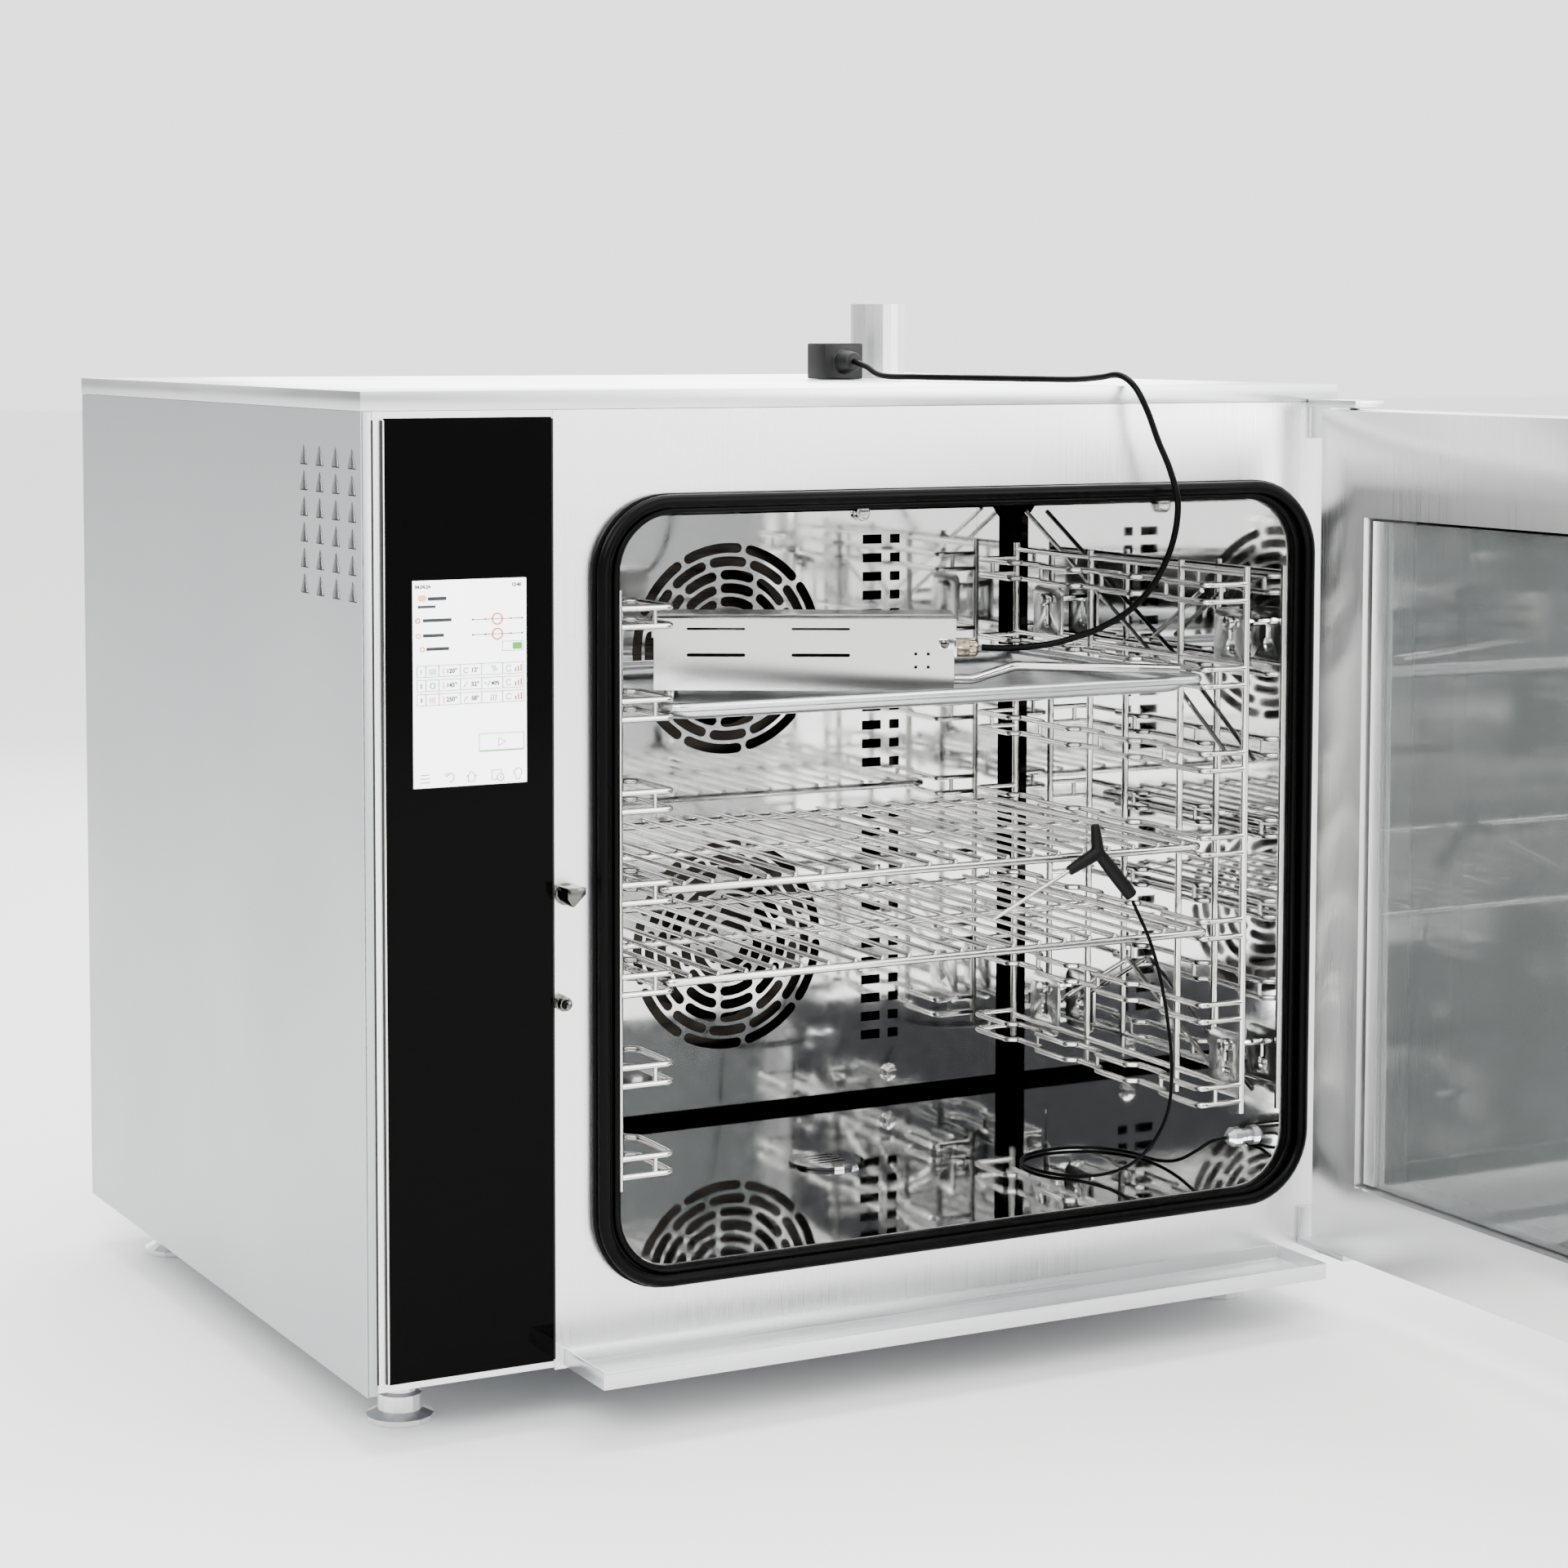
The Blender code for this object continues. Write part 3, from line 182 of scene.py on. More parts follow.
def plain(name, hex_colour, roughness):
    """A matt paint with the slight mottle that any rolled or sprayed coat has."""
    made, tree = blank(name)
    where = node(tree, "TexCoord").outputs["Object"]
    mottle = node(tree, "TexNoise", links={"Vector": where}, Scale=40.0, Detail=3.0)
    rough = node(
        tree, "MapRange", links={"Value": mottle}, To_Min=roughness - 0.04, To_Max=roughness + 0.04
    )
    shader = node(tree, "BsdfPrincipled", links={"Roughness": rough}, Base_Color=colour(hex_colour))
    close(tree, shader)
    return made


def brushed_steel(name, hex_colour, lie, low=0.22, high=0.42):
    """18/10 stainless sheet, belt ground: satin streaks lie along one axis and soften reflections."""
    made, tree = blank(name)
    where = node(tree, "TexCoord").outputs["Object"]
    # belt scratches are near 0.1 mm apart, drawn 0.7 mm apart so that they show
    across = 1500.0
    scale = [across] * 3
    scale[lie] = 6.0
    stretch = node(tree, "Mapping", links={"Vector": where}, Scale=scale)
    streaks = node(tree, "TexNoise", links={"Vector": stretch}, Scale=1.0, Detail=3.0, Roughness=0.6)
    cloud = node(tree, "TexNoise", links={"Vector": where}, Scale=5.0, Detail=2.0)
    both = node(tree, "Math", links={0: streaks, 1: cloud}, operation="ADD")
    rough = node(
        tree, "MapRange", links={"Value": both}, From_Min=0.6, From_Max=1.4, To_Min=low, To_Max=high
    )
    tint = node(tree, "MapRange", links={"Value": streaks}, To_Min=0.95, To_Max=1.03)
    shade = node(tree, "Mix", data_type="RGBA", blend_type="MULTIPLY")
    shade.inputs[0].default_value = 1.0
    shade.inputs[6].default_value = colour(hex_colour)
    tree.links.new(tint.outputs[0], shade.inputs[7])
    bump = node(tree, "Bump", links={"Height": streaks}, Strength=0.03, Distance=0.0003)
    shader = node(tree, "BsdfPrincipled", Metallic=1.0, Anisotropic=0.35,
                  links={"Base Color": shade.outputs[2], "Roughness": rough, "Normal": bump})
    close(tree, shader)
    return made


def polished_steel(name, hex_colour, roughness, wave, shade_from=None):
    """Mirror-polished stainless sheet: reflections that swim a little over its faint waves."""
    made, tree = blank(name)
    where = node(tree, "TexCoord").outputs["Object"]
    swell = node(tree, "TexNoise", links={"Vector": where}, Scale=7.0, Detail=1.5)
    haze = node(tree, "TexNoise", links={"Vector": where}, Scale=60.0, Detail=4.0)
    rough = node(
        tree, "MapRange", links={"Value": haze}, From_Min=0.3, From_Max=0.7, To_Min=roughness * 0.6,
        To_Max=roughness * 1.5
    )
    bump = node(tree, "Bump", links={"Height": swell}, Strength=wave, Distance=0.01)
    shader = node(tree, "BsdfPrincipled", Base_Color=colour(hex_colour), Metallic=1.0,
                  links={"Roughness": rough, "Normal": bump})
    if shade_from is not None:
        # painted shade: all that lies behind the suction plate is darkened to a dark brown, standing in for
        # the shade of the fan chamber
        place = node(tree, "SeparateXYZ", links={"Vector": where})
        chamber_shade = node(
            tree, "MapRange", links={"Value": place.outputs["Y"]}, From_Min=shade_from,
            From_Max=shade_from + 0.0006
        )
        tone = node(tree, "Mix", links={"Factor": chamber_shade}, data_type="RGBA")
        tone.inputs[6].default_value = colour(hex_colour)
        tone.inputs[7].default_value = colour("#120f0d")
        tree.links.new(tone.outputs[2], shader.inputs["Base Color"])
    close(tree, shader)
    return made


def black_glass(name):
    """Toughened glass, black-enamelled on its back: deep black with faint wipe marks."""
    made, tree = blank(name)
    where = node(tree, "TexCoord").outputs["Object"]
    stretch = node(tree, "Mapping", links={"Vector": where}, Scale=(10.0, 10.0, 3.0))
    wipe = node(tree, "TexNoise", links={"Vector": stretch}, Scale=2.0, Detail=4.0)
    rough = node(
        tree, "MapRange", links={"Value": wipe}, From_Min=0.35, From_Max=0.7, To_Min=0.03, To_Max=0.1
    )
    shader = node(tree, "BsdfPrincipled", Base_Color=colour("#020202"), IOR=1.5, Specular_IOR_Level=0.03,
                  links={"Roughness": rough})
    close(tree, shader)
    return made


def clear_glass(name):
    """Heat-reflecting oven glass: clear, faintly grey, with a light haze of handling."""
    made, tree = blank(name)
    where = node(tree, "TexCoord").outputs["Object"]
    haze = node(tree, "TexNoise", links={"Vector": where}, Scale=8.0, Detail=4.0)
    rough = node(tree, "MapRange", links={"Value": haze}, To_Min=0.01, To_Max=0.08)
    shader = node(
        tree, "BsdfPrincipled", links={"Roughness": rough}, Base_Color=colour("#dfe6e5"), IOR=1.5,
        Transmission_Weight=0.9, Alpha=0.55
    )
    close(tree, shader)
    return made


def moulded(name, hex_colour, roughness, grain, depth, gloss=0.5):
    """Moulded rubber or plastic: a fine spark-eroded grain, and highlights varied by handling."""
    made, tree = blank(name)
    where = node(tree, "TexCoord").outputs["Object"]
    texture = node(tree, "TexNoise", links={"Vector": where}, Scale=grain, Detail=2.0)
    drift = node(tree, "TexNoise", links={"Vector": where}, Scale=30.0, Detail=2.0)
    rough = node(tree, "MapRange", links={"Value": drift}, To_Min=roughness - 0.1, To_Max=roughness + 0.1)
    bump = node(tree, "Bump", links={"Height": texture}, Strength=0.25, Distance=depth)
    shader = node(tree, "BsdfPrincipled", Base_Color=colour(hex_colour), Specular_IOR_Level=gloss,
                  links={"Roughness": rough, "Normal": bump})
    close(tree, shader)
    return made


def mottled_metal(name, hex_low, hex_high, roughness, size_mm):
    """Cast, turned or zinc-plated metal: two close tones in patches of the given size."""
    made, tree = blank(name)
    where = node(tree, "TexCoord").outputs["Object"]
    patches = node(tree, "TexVoronoi", links={"Vector": where}, Scale=1000.0 / size_mm)
    blend = node(tree, "Mix", data_type="RGBA")
    tree.links.new(patches.outputs["Color"], blend.inputs[0])
    blend.inputs[6].default_value = colour(hex_low)
    blend.inputs[7].default_value = colour(hex_high)
    rough = node(
        tree, "MapRange", links={"Value": patches}, To_Min=roughness - 0.08, To_Max=roughness + 0.08
    )
    shader = node(
        tree, "BsdfPrincipled", Metallic=1.0, links={"Base Color": blend.outputs[2], "Roughness": rough}
    )
    close(tree, shader)
    return made


def lit(name, hex_colour, strength):
    """A back-lit display colour under glass, with a faint grid of dots in its roughness."""
    made, tree = blank(name)
    where = node(tree, "TexCoord").outputs["Object"]
    grid = node(tree, "TexNoise", links={"Vector": where}, Scale=3000.0)
    rough = node(tree, "MapRange", links={"Value": grid}, To_Min=0.12, To_Max=0.22)
    shader = node(tree, "BsdfPrincipled", Base_Color=colour(hex_colour), Emission_Color=colour(hex_colour),
                  Emission_Strength=strength, links={"Roughness": rough})
    close(tree, shader)
    return made


def wool_felt(name):
    """Mineral wool: matted fibres, ochre over brown, quite without shine."""
    made, tree = blank(name)
    where = node(tree, "TexCoord").outputs["Object"]
    fibres = node(tree, "TexNoise", links={"Vector": where}, Scale=220.0, Detail=6.0, Distortion=2.0)
    ramp = node(tree, "ValToRGB", links={"Fac": fibres})
    ramp.color_ramp.elements[0].color = colour("#8a6f3c")
    ramp.color_ramp.elements[1].color = colour("#d8c184")
    bump = node(tree, "Bump", links={"Height": fibres}, Strength=0.6, Distance=0.002)
    shader = node(
        tree, "BsdfPrincipled", Roughness=0.95, links={"Base Color": ramp.outputs["Color"], "Normal": bump}
    )
    close(tree, shader)
    return made


# the plane behind which the mirror steel of liner and suction plate is darkened as painted shade
BAFFLE_BACK = DATUM[1] + (BAFFLE_Y + 0.7) * MM
STEEL_X = brushed_steel("satin_steel_lying_x", "#d9dadb", 0)
STEEL_Y = brushed_steel("satin_steel_lying_y", "#d2d3d5", 1)
# painted light: this copy is lighter than the other satin steels, so that the front faces read white
STEEL_Z = brushed_steel("satin_steel_lying_z", "#ebebeb", 2)
# painted shade: a darker copy of the satin steel for the left side panel, which reads darker than the front
SHADED_SIDE_STEEL = brushed_steel("satin_steel_side_painted_shade", "#aeb0b2", 2, 0.3, 0.5)
# painted shade: the louvre hoods get a darker copy of the panel's steel
SHADED_HOOD_STEEL = brushed_steel("pressed_hood_steel_painted_shade", "#8f9193", 2)
# painted shade: the fan wheels and motors get a dark brown steel that stands in for the shade of the fan
# chamber
SHADED_FAN_STEEL = brushed_steel("fan_steel_painted_shade", "#3b3733", 0)
BRIGHT_SHEET = brushed_steel("bright_ground_steel", "#dcdcda", 0, 0.12, 0.24)
MIRROR = polished_steel("mirror_steel", "#eeefef", 0.035, 0.03, BAFFLE_BACK)
MIRROR_FLAT = polished_steel("mirror_baffle_steel", "#f0f0ef", 0.06, 0.015, BAFFLE_BACK)
BRIGHT_WIRE = polished_steel("electropolished_wire", "#d9d8d5", 0.13, 0.02)
DARK_STEEL = polished_steel("hardened_dark_steel", "#5a5a56", 0.12, 0.02)
ELEMENT = mottled_metal("oxidised_heater_sheath", "#1e1916", "#2e2620", 0.4, 6.0)
GLASS_BLACK = black_glass("black_enamelled_glass")
GLASS_CLEAR = clear_glass("heat_reflecting_glass")
RUBBER = moulded("black_silicone", "#010101", 0.36, 900.0, 0.0002, 0.06)
GRIP = moulded("black_moulded_grip", "#060606", 0.5, 1400.0, 0.0002, 0.15)
PLASTIC = moulded("black_nylon", "#080808", 0.45, 1200.0, 0.0002, 0.25)
BRASS = mottled_metal("nickelled_brass", "#8d8676", "#b3ab99", 0.2, 3.0)
YELLOW_BRASS = mottled_metal("turned_brass", "#a98743", "#c7a65c", 0.25, 2.0)
CAST = mottled_metal("die_cast_aluminium", "#8e9093", "#a3a5a8", 0.45, 2.5)
ZINC = mottled_metal("zinc_plated_sheet", "#8d9196", "#aab0b5", 0.38, 12.0)
BOARD = moulded("circuit_board", "#12482a", 0.4, 600.0, 0.0003)
WOOL = wool_felt("mineral_wool")
LIT_WHITE = lit("display_white", "#f4f5f6", 2.6)
SHADOW = plain("seam_shadow", "#0c0c0c", 0.8)

CAD_FINISH = {
    "base_frame": ZINC, "rear_panel": ZINC, "top_panel": STEEL_X, "right_side_panel": STEEL_Y,
    "left_side_panel": SHADED_SIDE_STEEL,
    "control_column": STEEL_Z, "control_glass": GLASS_BLACK, "touch_screen": LIT_WHITE,
    "control_board": BOARD,
    "front_frame": STEEL_Z, "cavity_liner": MIRROR, "insulation_jacket": WOOL, "door_gasket": RUBBER,
    "fan_baffle": MIRROR_FLAT, "fan_motor_upper": SHADED_FAN_STEEL, "fan_motor_lower": SHADED_FAN_STEEL,
    "steam_generator": STEEL_Z, "drain_pipe": STEEL_Y, "drain_strainer": MIRROR, "exhaust_pipe": STEEL_Z,
    "exhaust_flap": BRIGHT_WIRE, "cooling_fan_frame": PLASTIC, "cooling_fan_rotor": PLASTIC,
    "water_inlet": YELLOW_BRASS,
    "mains_gland": PLASTIC, "rack_left": BRIGHT_WIRE, "rack_right": BRIGHT_WIRE,
    "wire_shelf_upper": BRIGHT_WIRE,
    "wire_shelf_lower": BRIGHT_WIRE, "baking_tray": STEEL_X, "smoker_box": BRIGHT_SHEET,
    "smoker_lid": BRIGHT_SHEET,
    "smoker_gland": BRASS, "smoker_handle": BRIGHT_WIRE, "smoker_socket": PLASTIC, "smoker_cable": RUBBER,
    "probe_grip": GRIP, "probe_needle": BRIGHT_WIRE, "probe_cable": RUBBER, "probe_gland": STEEL_X,
    "latch_striker": DARK_STEEL, "door_switch_body": DARK_STEEL, "door_switch_plunger": DARK_STEEL,
    "drip_gutter": STEEL_X, "door_hinge_top": STEEL_Y, "door_hinge_bottom": STEEL_Y,
    "door_outer_glass": GLASS_BLACK,
    "door_frame": STEEL_Z, "handle_mount": CAST, "door_handle": PLASTIC, "door_inner_glass": GLASS_CLEAR,
    "inner_glass_hinge_strip": STEEL_Z, "fan_wheel_upper": SHADED_FAN_STEEL, "fan_wheel_lower": SHADED_FAN_STEEL,
    "heating_element_upper": ELEMENT, "heating_element_lower": ELEMENT, "foot_front_left": STEEL_Z,
    "foot_front_right": STEEL_Z, "foot_rear_left": STEEL_Z, "foot_rear_right": STEEL_Z,
}


def dress(obj, finish):
    obj.data.materials.clear()
    obj.data.materials.append(finish)


# ------------------------------------------------------------ bench tools

def calm():
    if bpy.context.object and bpy.context.object.mode != "OBJECT":
        bpy.ops.object.mode_set(mode="OBJECT")
    bpy.ops.object.select_all(action="DESELECT")


def take(obj):
    calm()
    obj.select_set(True)
    bpy.context.view_layer.objects.active = obj
    return obj


def settle(obj, name, finish, body="root", angle=35.0):
    """Apply place and modifiers, smooth it, give it its finish, and set it to ride."""
    take(obj)
    bpy.ops.object.transform_apply()
    for change in list(obj.modifiers):
        bpy.ops.object.modifier_apply(modifier=change.name)
    bpy.ops.object.shade_smooth_by_angle(angle=math.radians(angle))
    obj.name = name
    obj.data.name = name
    dress(obj, finish)
    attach(obj, body)
    return obj


def join(first, *others):
    take(first)
    for other in others:
        other.select_set(True)
    bpy.ops.object.join()
    return first


def edit_all():
    """Enters edit mode with the whole piece selected."""
    bpy.ops.object.mode_set(mode="EDIT")
    bpy.ops.mesh.select_all(action="SELECT")


def face_outwards(inside=False):
    """Turns every face of the piece in edit mode outwards, and leaves edit mode."""
    bpy.ops.mesh.select_all(action="SELECT")
    bpy.ops.mesh.normals_make_consistent(inside=inside)
    bpy.ops.object.mode_set(mode="OBJECT")


def carried(obj, turn, place):
    """Turns a piece about the upright axis at the datum, and carries it from there to its place."""
    take(obj)
    turned = Matrix.Rotation(turn, 4, "Z") @ Matrix.Translation(-DATUM)
    obj.matrix_world = Matrix.Translation(DATUM + Vector(place) * MM) @ turned
    bpy.ops.object.transform_apply()
    return obj


def slab(x, y, z, edge=0.0, segments=2):
    """A sheet or block between limits, its edges rounded in edit mode."""
    calm()
    centre = at((x[0] + x[1]) / 2, (y[0] + y[1]) / 2, (z[0] + z[1]) / 2)
    size = Vector((x[1] - x[0], y[1] - y[0], z[1] - z[0])) * MM
    bpy.ops.mesh.primitive_cube_add(size=1.0, location=centre)
    obj = bpy.context.object
    obj.scale = size
    bpy.ops.object.transform_apply()
    if edge:
        edit_all()
        bpy.ops.mesh.bevel(offset=edge * MM, segments=segments, affect="EDGES")
        bpy.ops.object.mode_set(mode="OBJECT")
    return obj


TURN = {"X": (0, math.pi / 2, 0), "Y": (-math.pi / 2, 0, 0), "Z": (0, 0, 0)}


def drum(axis, start, length, radius, sides=32, edge=0.0):
    """A round bar from a start point along an axis, its rims rounded in edit mode."""
    calm()
    bpy.ops.mesh.primitive_cylinder_add(
        vertices=sides, radius=radius * MM, depth=length * MM, location=(0, 0, 0)
    )
    obj = bpy.context.object
    if edge:
        bpy.ops.object.mode_set(mode="EDIT")
        bpy.ops.mesh.select_mode(type="EDGE")
        bpy.ops.mesh.select_all(action="DESELECT")
        bpy.ops.mesh.edges_select_sharp(sharpness=math.radians(50))
        bpy.ops.mesh.bevel(offset=edge * MM, segments=3, affect="EDGES")
        bpy.ops.object.mode_set(mode="OBJECT")
    offset = {"X": (length / 2, 0, 0), "Y": (0, length / 2, 0), "Z": (0, 0, length / 2)}[axis]
    obj.rotation_euler = TURN[axis]
    obj.location = at(*(Vector(start) + Vector(offset)))
    bpy.ops.object.transform_apply()
    return obj


def lathe(profile, place, axis="Z", steps=40):
    """A profile of radius and height pairs, extruded point by point and spun round its axis."""
    calm()
    bpy.ops.mesh.primitive_plane_add(size=0.001, location=(0, 0, 0))
    obj = bpy.context.object
    bpy.ops.object.mode_set(mode="EDIT")
    bpy.ops.mesh.select_mode(type="VERT")
    bpy.ops.mesh.select_all(action="SELECT")
    bpy.ops.mesh.merge(type="CENTER")
    last = Vector((0, 0, 0))
    for i, (radius, height) in enumerate(profile):
        point = Vector((radius, 0, height)) * MM
        if i == 0:
            bpy.ops.transform.translate(value=point - last)
        else:
            bpy.ops.mesh.extrude_region_move(TRANSFORM_OT_translate={"value": point - last})
        last = point
    bpy.ops.mesh.select_all(action="SELECT")
    bpy.ops.mesh.spin(steps=steps, angle=2 * math.pi, center=(0, 0, 0), axis=(0, 0, 1))
    bpy.ops.mesh.select_all(action="SELECT")
    bpy.ops.mesh.remove_doubles(threshold=0.000005)
    face_outwards()
    obj.rotation_euler = TURN[axis]
    obj.location = at(*place)
    bpy.ops.object.transform_apply()
    return obj


def eased(points, bend, steps=6):
    """A path whose corners are rounded to a bending radius."""
    points = [Vector(p) for p in points]
    out = [points[0]]
    for before, corner, after in zip(points, points[1:], points[2:]):
        way_in = (corner - before).normalized()
        way_out = (after - corner).normalized()
        turn = way_in.angle(way_out)
        if turn < 0.05:
            out.append(corner)
            continue
        reach = min(
            bend * math.tan(turn / 2), (corner - before).length * 0.48, (after - corner).length * 0.48
        )
        start, end = corner - way_in * reach, corner + way_out * reach
        for i in range(steps + 1):
            t = i / steps
            out.append(start * (1 - t) ** 2 + corner * 2 * t * (1 - t) + end * t * t)
    out.append(points[-1])
    return out


def tube(points, radius, level=3, closed=False, radii=None):
    """A round wire along drawing points, as a closed mesh."""
    calm()
    curve = bpy.data.curves.new("wire", "CURVE")
    curve.dimensions = "3D"
    curve.bevel_depth = radius * MM
    curve.bevel_resolution = level
    curve.use_fill_caps = not closed
    spline = curve.splines.new("POLY")
    spline.points.add(len(points) - 1)
    for i, (point, place) in enumerate(zip(spline.points, points)):
        point.co = (*at(*place), 1.0)
        point.radius = radii[i] if radii else 1.0
    spline.use_cyclic_u = closed
    obj = bpy.data.objects.new("wire", curve)
    bpy.context.scene.collection.objects.link(obj)
    return weld(obj)


def weld(obj):
    """A curve made a mesh, its loose caps merged and its faces turned out."""
    take(obj)
    bpy.ops.object.convert(target="MESH")
    obj = bpy.context.object
    edit_all()
    bpy.ops.mesh.remove_doubles(threshold=0.000005)
    face_outwards()
    return obj


def pierced(loops, y, edge=0.0):
    """An upright sheet from an outline and its holes, given as XZ drawing points."""
    calm()
    curve = bpy.data.curves.new("sheet", "CURVE")
    curve.dimensions = "2D"
    curve.fill_mode = "BOTH"
    curve.extrude = (y[1] - y[0]) * MM / 2 - edge * MM
    curve.bevel_depth = edge * MM
    curve.bevel_resolution = 1
    for loop in loops:
        spline = curve.splines.new("POLY")
        spline.points.add(len(loop) - 1)
        for point, place in zip(spline.points, loop):
            point.co = (place[0] * MM, place[1] * MM, 0.0, 1.0)
        spline.use_cyclic_u = True
    obj = bpy.data.objects.new("sheet", curve)
    bpy.context.scene.collection.objects.link(obj)
    obj = weld(obj)
    obj.rotation_euler = (math.pi / 2, 0, 0)
    obj.location = at(0, (y[0] + y[1]) / 2, 0)
    bpy.ops.object.transform_apply()
    return obj


def ring_arc(cx, cz, radius, start, end, steps):
    points = []
    for i in range(steps + 1):
        angle = start + (end - start) * i / steps
        points.append((cx + radius * math.cos(angle), cz + radius * math.sin(angle)))
    return points


def rounded_box(x, z, radius, steps=6):
    """Outline points of a rectangle with round corners."""
    loop = []
    for cx, cz, quarter in (
        (x[1] - radius, z[1] - radius, 0), (x[0] + radius, z[1] - radius, 1),
        (x[0] + radius, z[0] + radius, 2), (x[1] - radius, z[0] + radius, 3),
    ):
        loop += ring_arc(cx, cz, radius, quarter * math.pi / 2, (quarter + 1) * math.pi / 2, steps)
    return loop


def softened(name, edge):
    """A copy of a CAD piece with its loose triangles merged, flats cleaned and edges rounded."""
    source = frame["nodes"][name]
    calm()
    mesh = source.data.copy()
    obj = bpy.data.objects.new("fine_" + name, mesh)
    bpy.context.scene.collection.objects.link(obj)
    take(obj)
    edit_all()
    bpy.ops.mesh.remove_doubles(threshold=0.00001)
    bpy.ops.mesh.dissolve_limited(angle_limit=math.radians(1.5))
    bpy.ops.object.mode_set(mode="OBJECT")
    bevel = obj.modifiers.new("edges", "BEVEL")
    bevel.width = edge * MM
    bevel.segments = 2
    bevel.limit_method = "ANGLE"
    bevel.angle_limit = math.radians(40)
    bevel.harden_normals = False
    settle(obj, "fine_" + name, CAD_FINISH[name], BODY_OF[name])
    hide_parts(name)


BODY_OF = {}
for body_name, names in frame["record"]["behaviour"]["bodies"].items():
    for part_name in names:
        BODY_OF[part_name] = body_name


# ------------------------------------------------------------ casing

def flattened(share):
    """Presses the piece just made to a share of its depth from side to side."""
    obj = bpy.context.object
    obj.scale = (share, 1.0, 1.0)
    bpy.ops.object.transform_apply()
    return obj


def make_left_panel():
    """The left side sheet with its front fold and four columns of pressed drip louvres, with painted shadow
    in and under each louvre's mouth.
    """
    sheet = slab((-262.0, -260.5), (-30.0, 648.2), (-565.0, 150.7))
    fold = slab((-261.6, -253.6), (-30.0, -28.5), (-565.0, 150.7), 0.4)
    panel = settle(join(sheet, fold), "left_panel_sheet", SHADED_SIDE_STEEL, "root")
    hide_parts("left_side_panel")
    hoods = []
    mouth_shadows = []
    for row in range(6):
        for column in range(4):
            low = 110.0 - 19.1 * row
            y = -12.0 + 33.0 * column
            calm()
            bpy.ops.mesh.primitive_cone_add(
                vertices=28, radius1=7.0 * MM, radius2=0.5 * MM, depth=13.5 * MM, end_fill_type="NOTHING",
                location=at(-262.0, y, low + 6.75))
            hood = flattened(0.25)
            edit_all()
            bpy.ops.mesh.bisect(plane_co=at(-261.9, 0, 0), plane_no=(1, 0, 0), clear_outer=True)
            face_outwards()
            skin = hood.modifiers.new("sheet", "SOLIDIFY")
            skin.thickness = 0.5 * MM
            skin.offset = -1.0
            hoods.append(hood)
            calm()
            # painted shade: a dark disc in the hood's open mouth, where the inside lies in shade
            bpy.ops.mesh.primitive_circle_add(
                vertices=28, radius=6.7 * MM, fill_type="NGON", location=at(-262.0, y, low + 0.1))
            mouth_shade = flattened(0.24)
            edit_all()
            bpy.ops.mesh.extrude_region_move(TRANSFORM_OT_translate={"value": (0, 0, 0.6 * MM)})
            face_outwards()
            mouth_shadows.append(mouth_shade)
            calm()
            # painted shadow: a thin dark cone on the sheet, a little larger and lower than the hood, as its
            # cast shadow
            bpy.ops.mesh.primitive_cone_add(
                vertices=28, radius1=7.9 * MM, radius2=0.6 * MM, depth=14.6 * MM,
                location=at(-262.02, y - 0.5, low + 6.3))
            mouth_shadows.append(flattened(0.03))
    for hood in hoods:
        take(hood)
        bpy.ops.object.modifier_apply(modifier="sheet")
    settle(join(*hoods), "louvre_hoods", SHADED_HOOD_STEEL, "root", 60.0)
    settle(join(*mouth_shadows), "louvre_mouth_shadows", SHADOW, "root")


def make_column_trim():
    """The bright folded edge beside the black glass."""
    bead = slab((-246.6, -244.8), (-32.2, -28.0), (-557.0, 144.5), 0.6, 3)
    settle(bead, "column_edge_bead", BRIGHT_WIRE, "root")
    seams = [slab((x - 0.7, x + 0.7), (-30.3, -28.2), (-557.0, 144.5)) for x in (-253.4, -112.85)]
    seams.append(slab((-247.5, -246.6), (-32.0, -28.2), (-557.0, 144.5)))
    settle(join(*seams), "casing_seam_shadows", SHADOW, "root")


# ------------------------------------------------------------ touch screen

def patch(across, down, finish, name, lift=0.10, radius=0.3):
    """A filled shape with round corners, its place measured from the display's top left corner."""
    x = (SCREEN_LEFT + across[0], SCREEN_LEFT + across[1])
    z = (SCREEN_TOP - down[1], SCREEN_TOP - down[0])
    radius = min(radius, (x[1] - x[0]) * 0.45, (z[1] - z[0]) * 0.45)
    obj = pierced([rounded_box(x, z, radius, 3)], (SCREEN_FRONT - lift, SCREEN_FRONT - lift + 0.08))
    return settle(obj, name, finish, "root")


def stroke(points, finish, name, width=0.55, closed=False):
    """A drawn line on the display."""
    path = [
        (SCREEN_LEFT + across, SCREEN_FRONT - width * 0.4, SCREEN_TOP - down) for across, down in points
    ]
    return settle(tube(path, width / 2, 1, closed), name, finish, "root")


def numerals(text, across, down, height, finish, name):
    """Numbers on the display, drawn bold so that they read from a distance."""
    calm()
    bpy.ops.object.text_add(location=(0, 0, 0))
    obj = bpy.context.object
    obj.data.body = text
    obj.data.size = height * MM * 1.6
    obj.data.offset = 0.16 * MM
    obj.data.extrude = 0.1 * MM
    bpy.ops.object.convert(target="MESH")
    obj = bpy.context.object
    obj.rotation_euler = (math.pi / 2, 0, 0)
    obj.location = at(SCREEN_LEFT + across, SCREEN_FRONT - 0.12, SCREEN_TOP - down)
    return settle(obj, name, finish, "root")


def box_line(x, down):
    """The four corners of a frame on the display."""
    return [(x[0], down[0]), (x[1], down[0]), (x[1], down[1]), (x[0], down[1])]


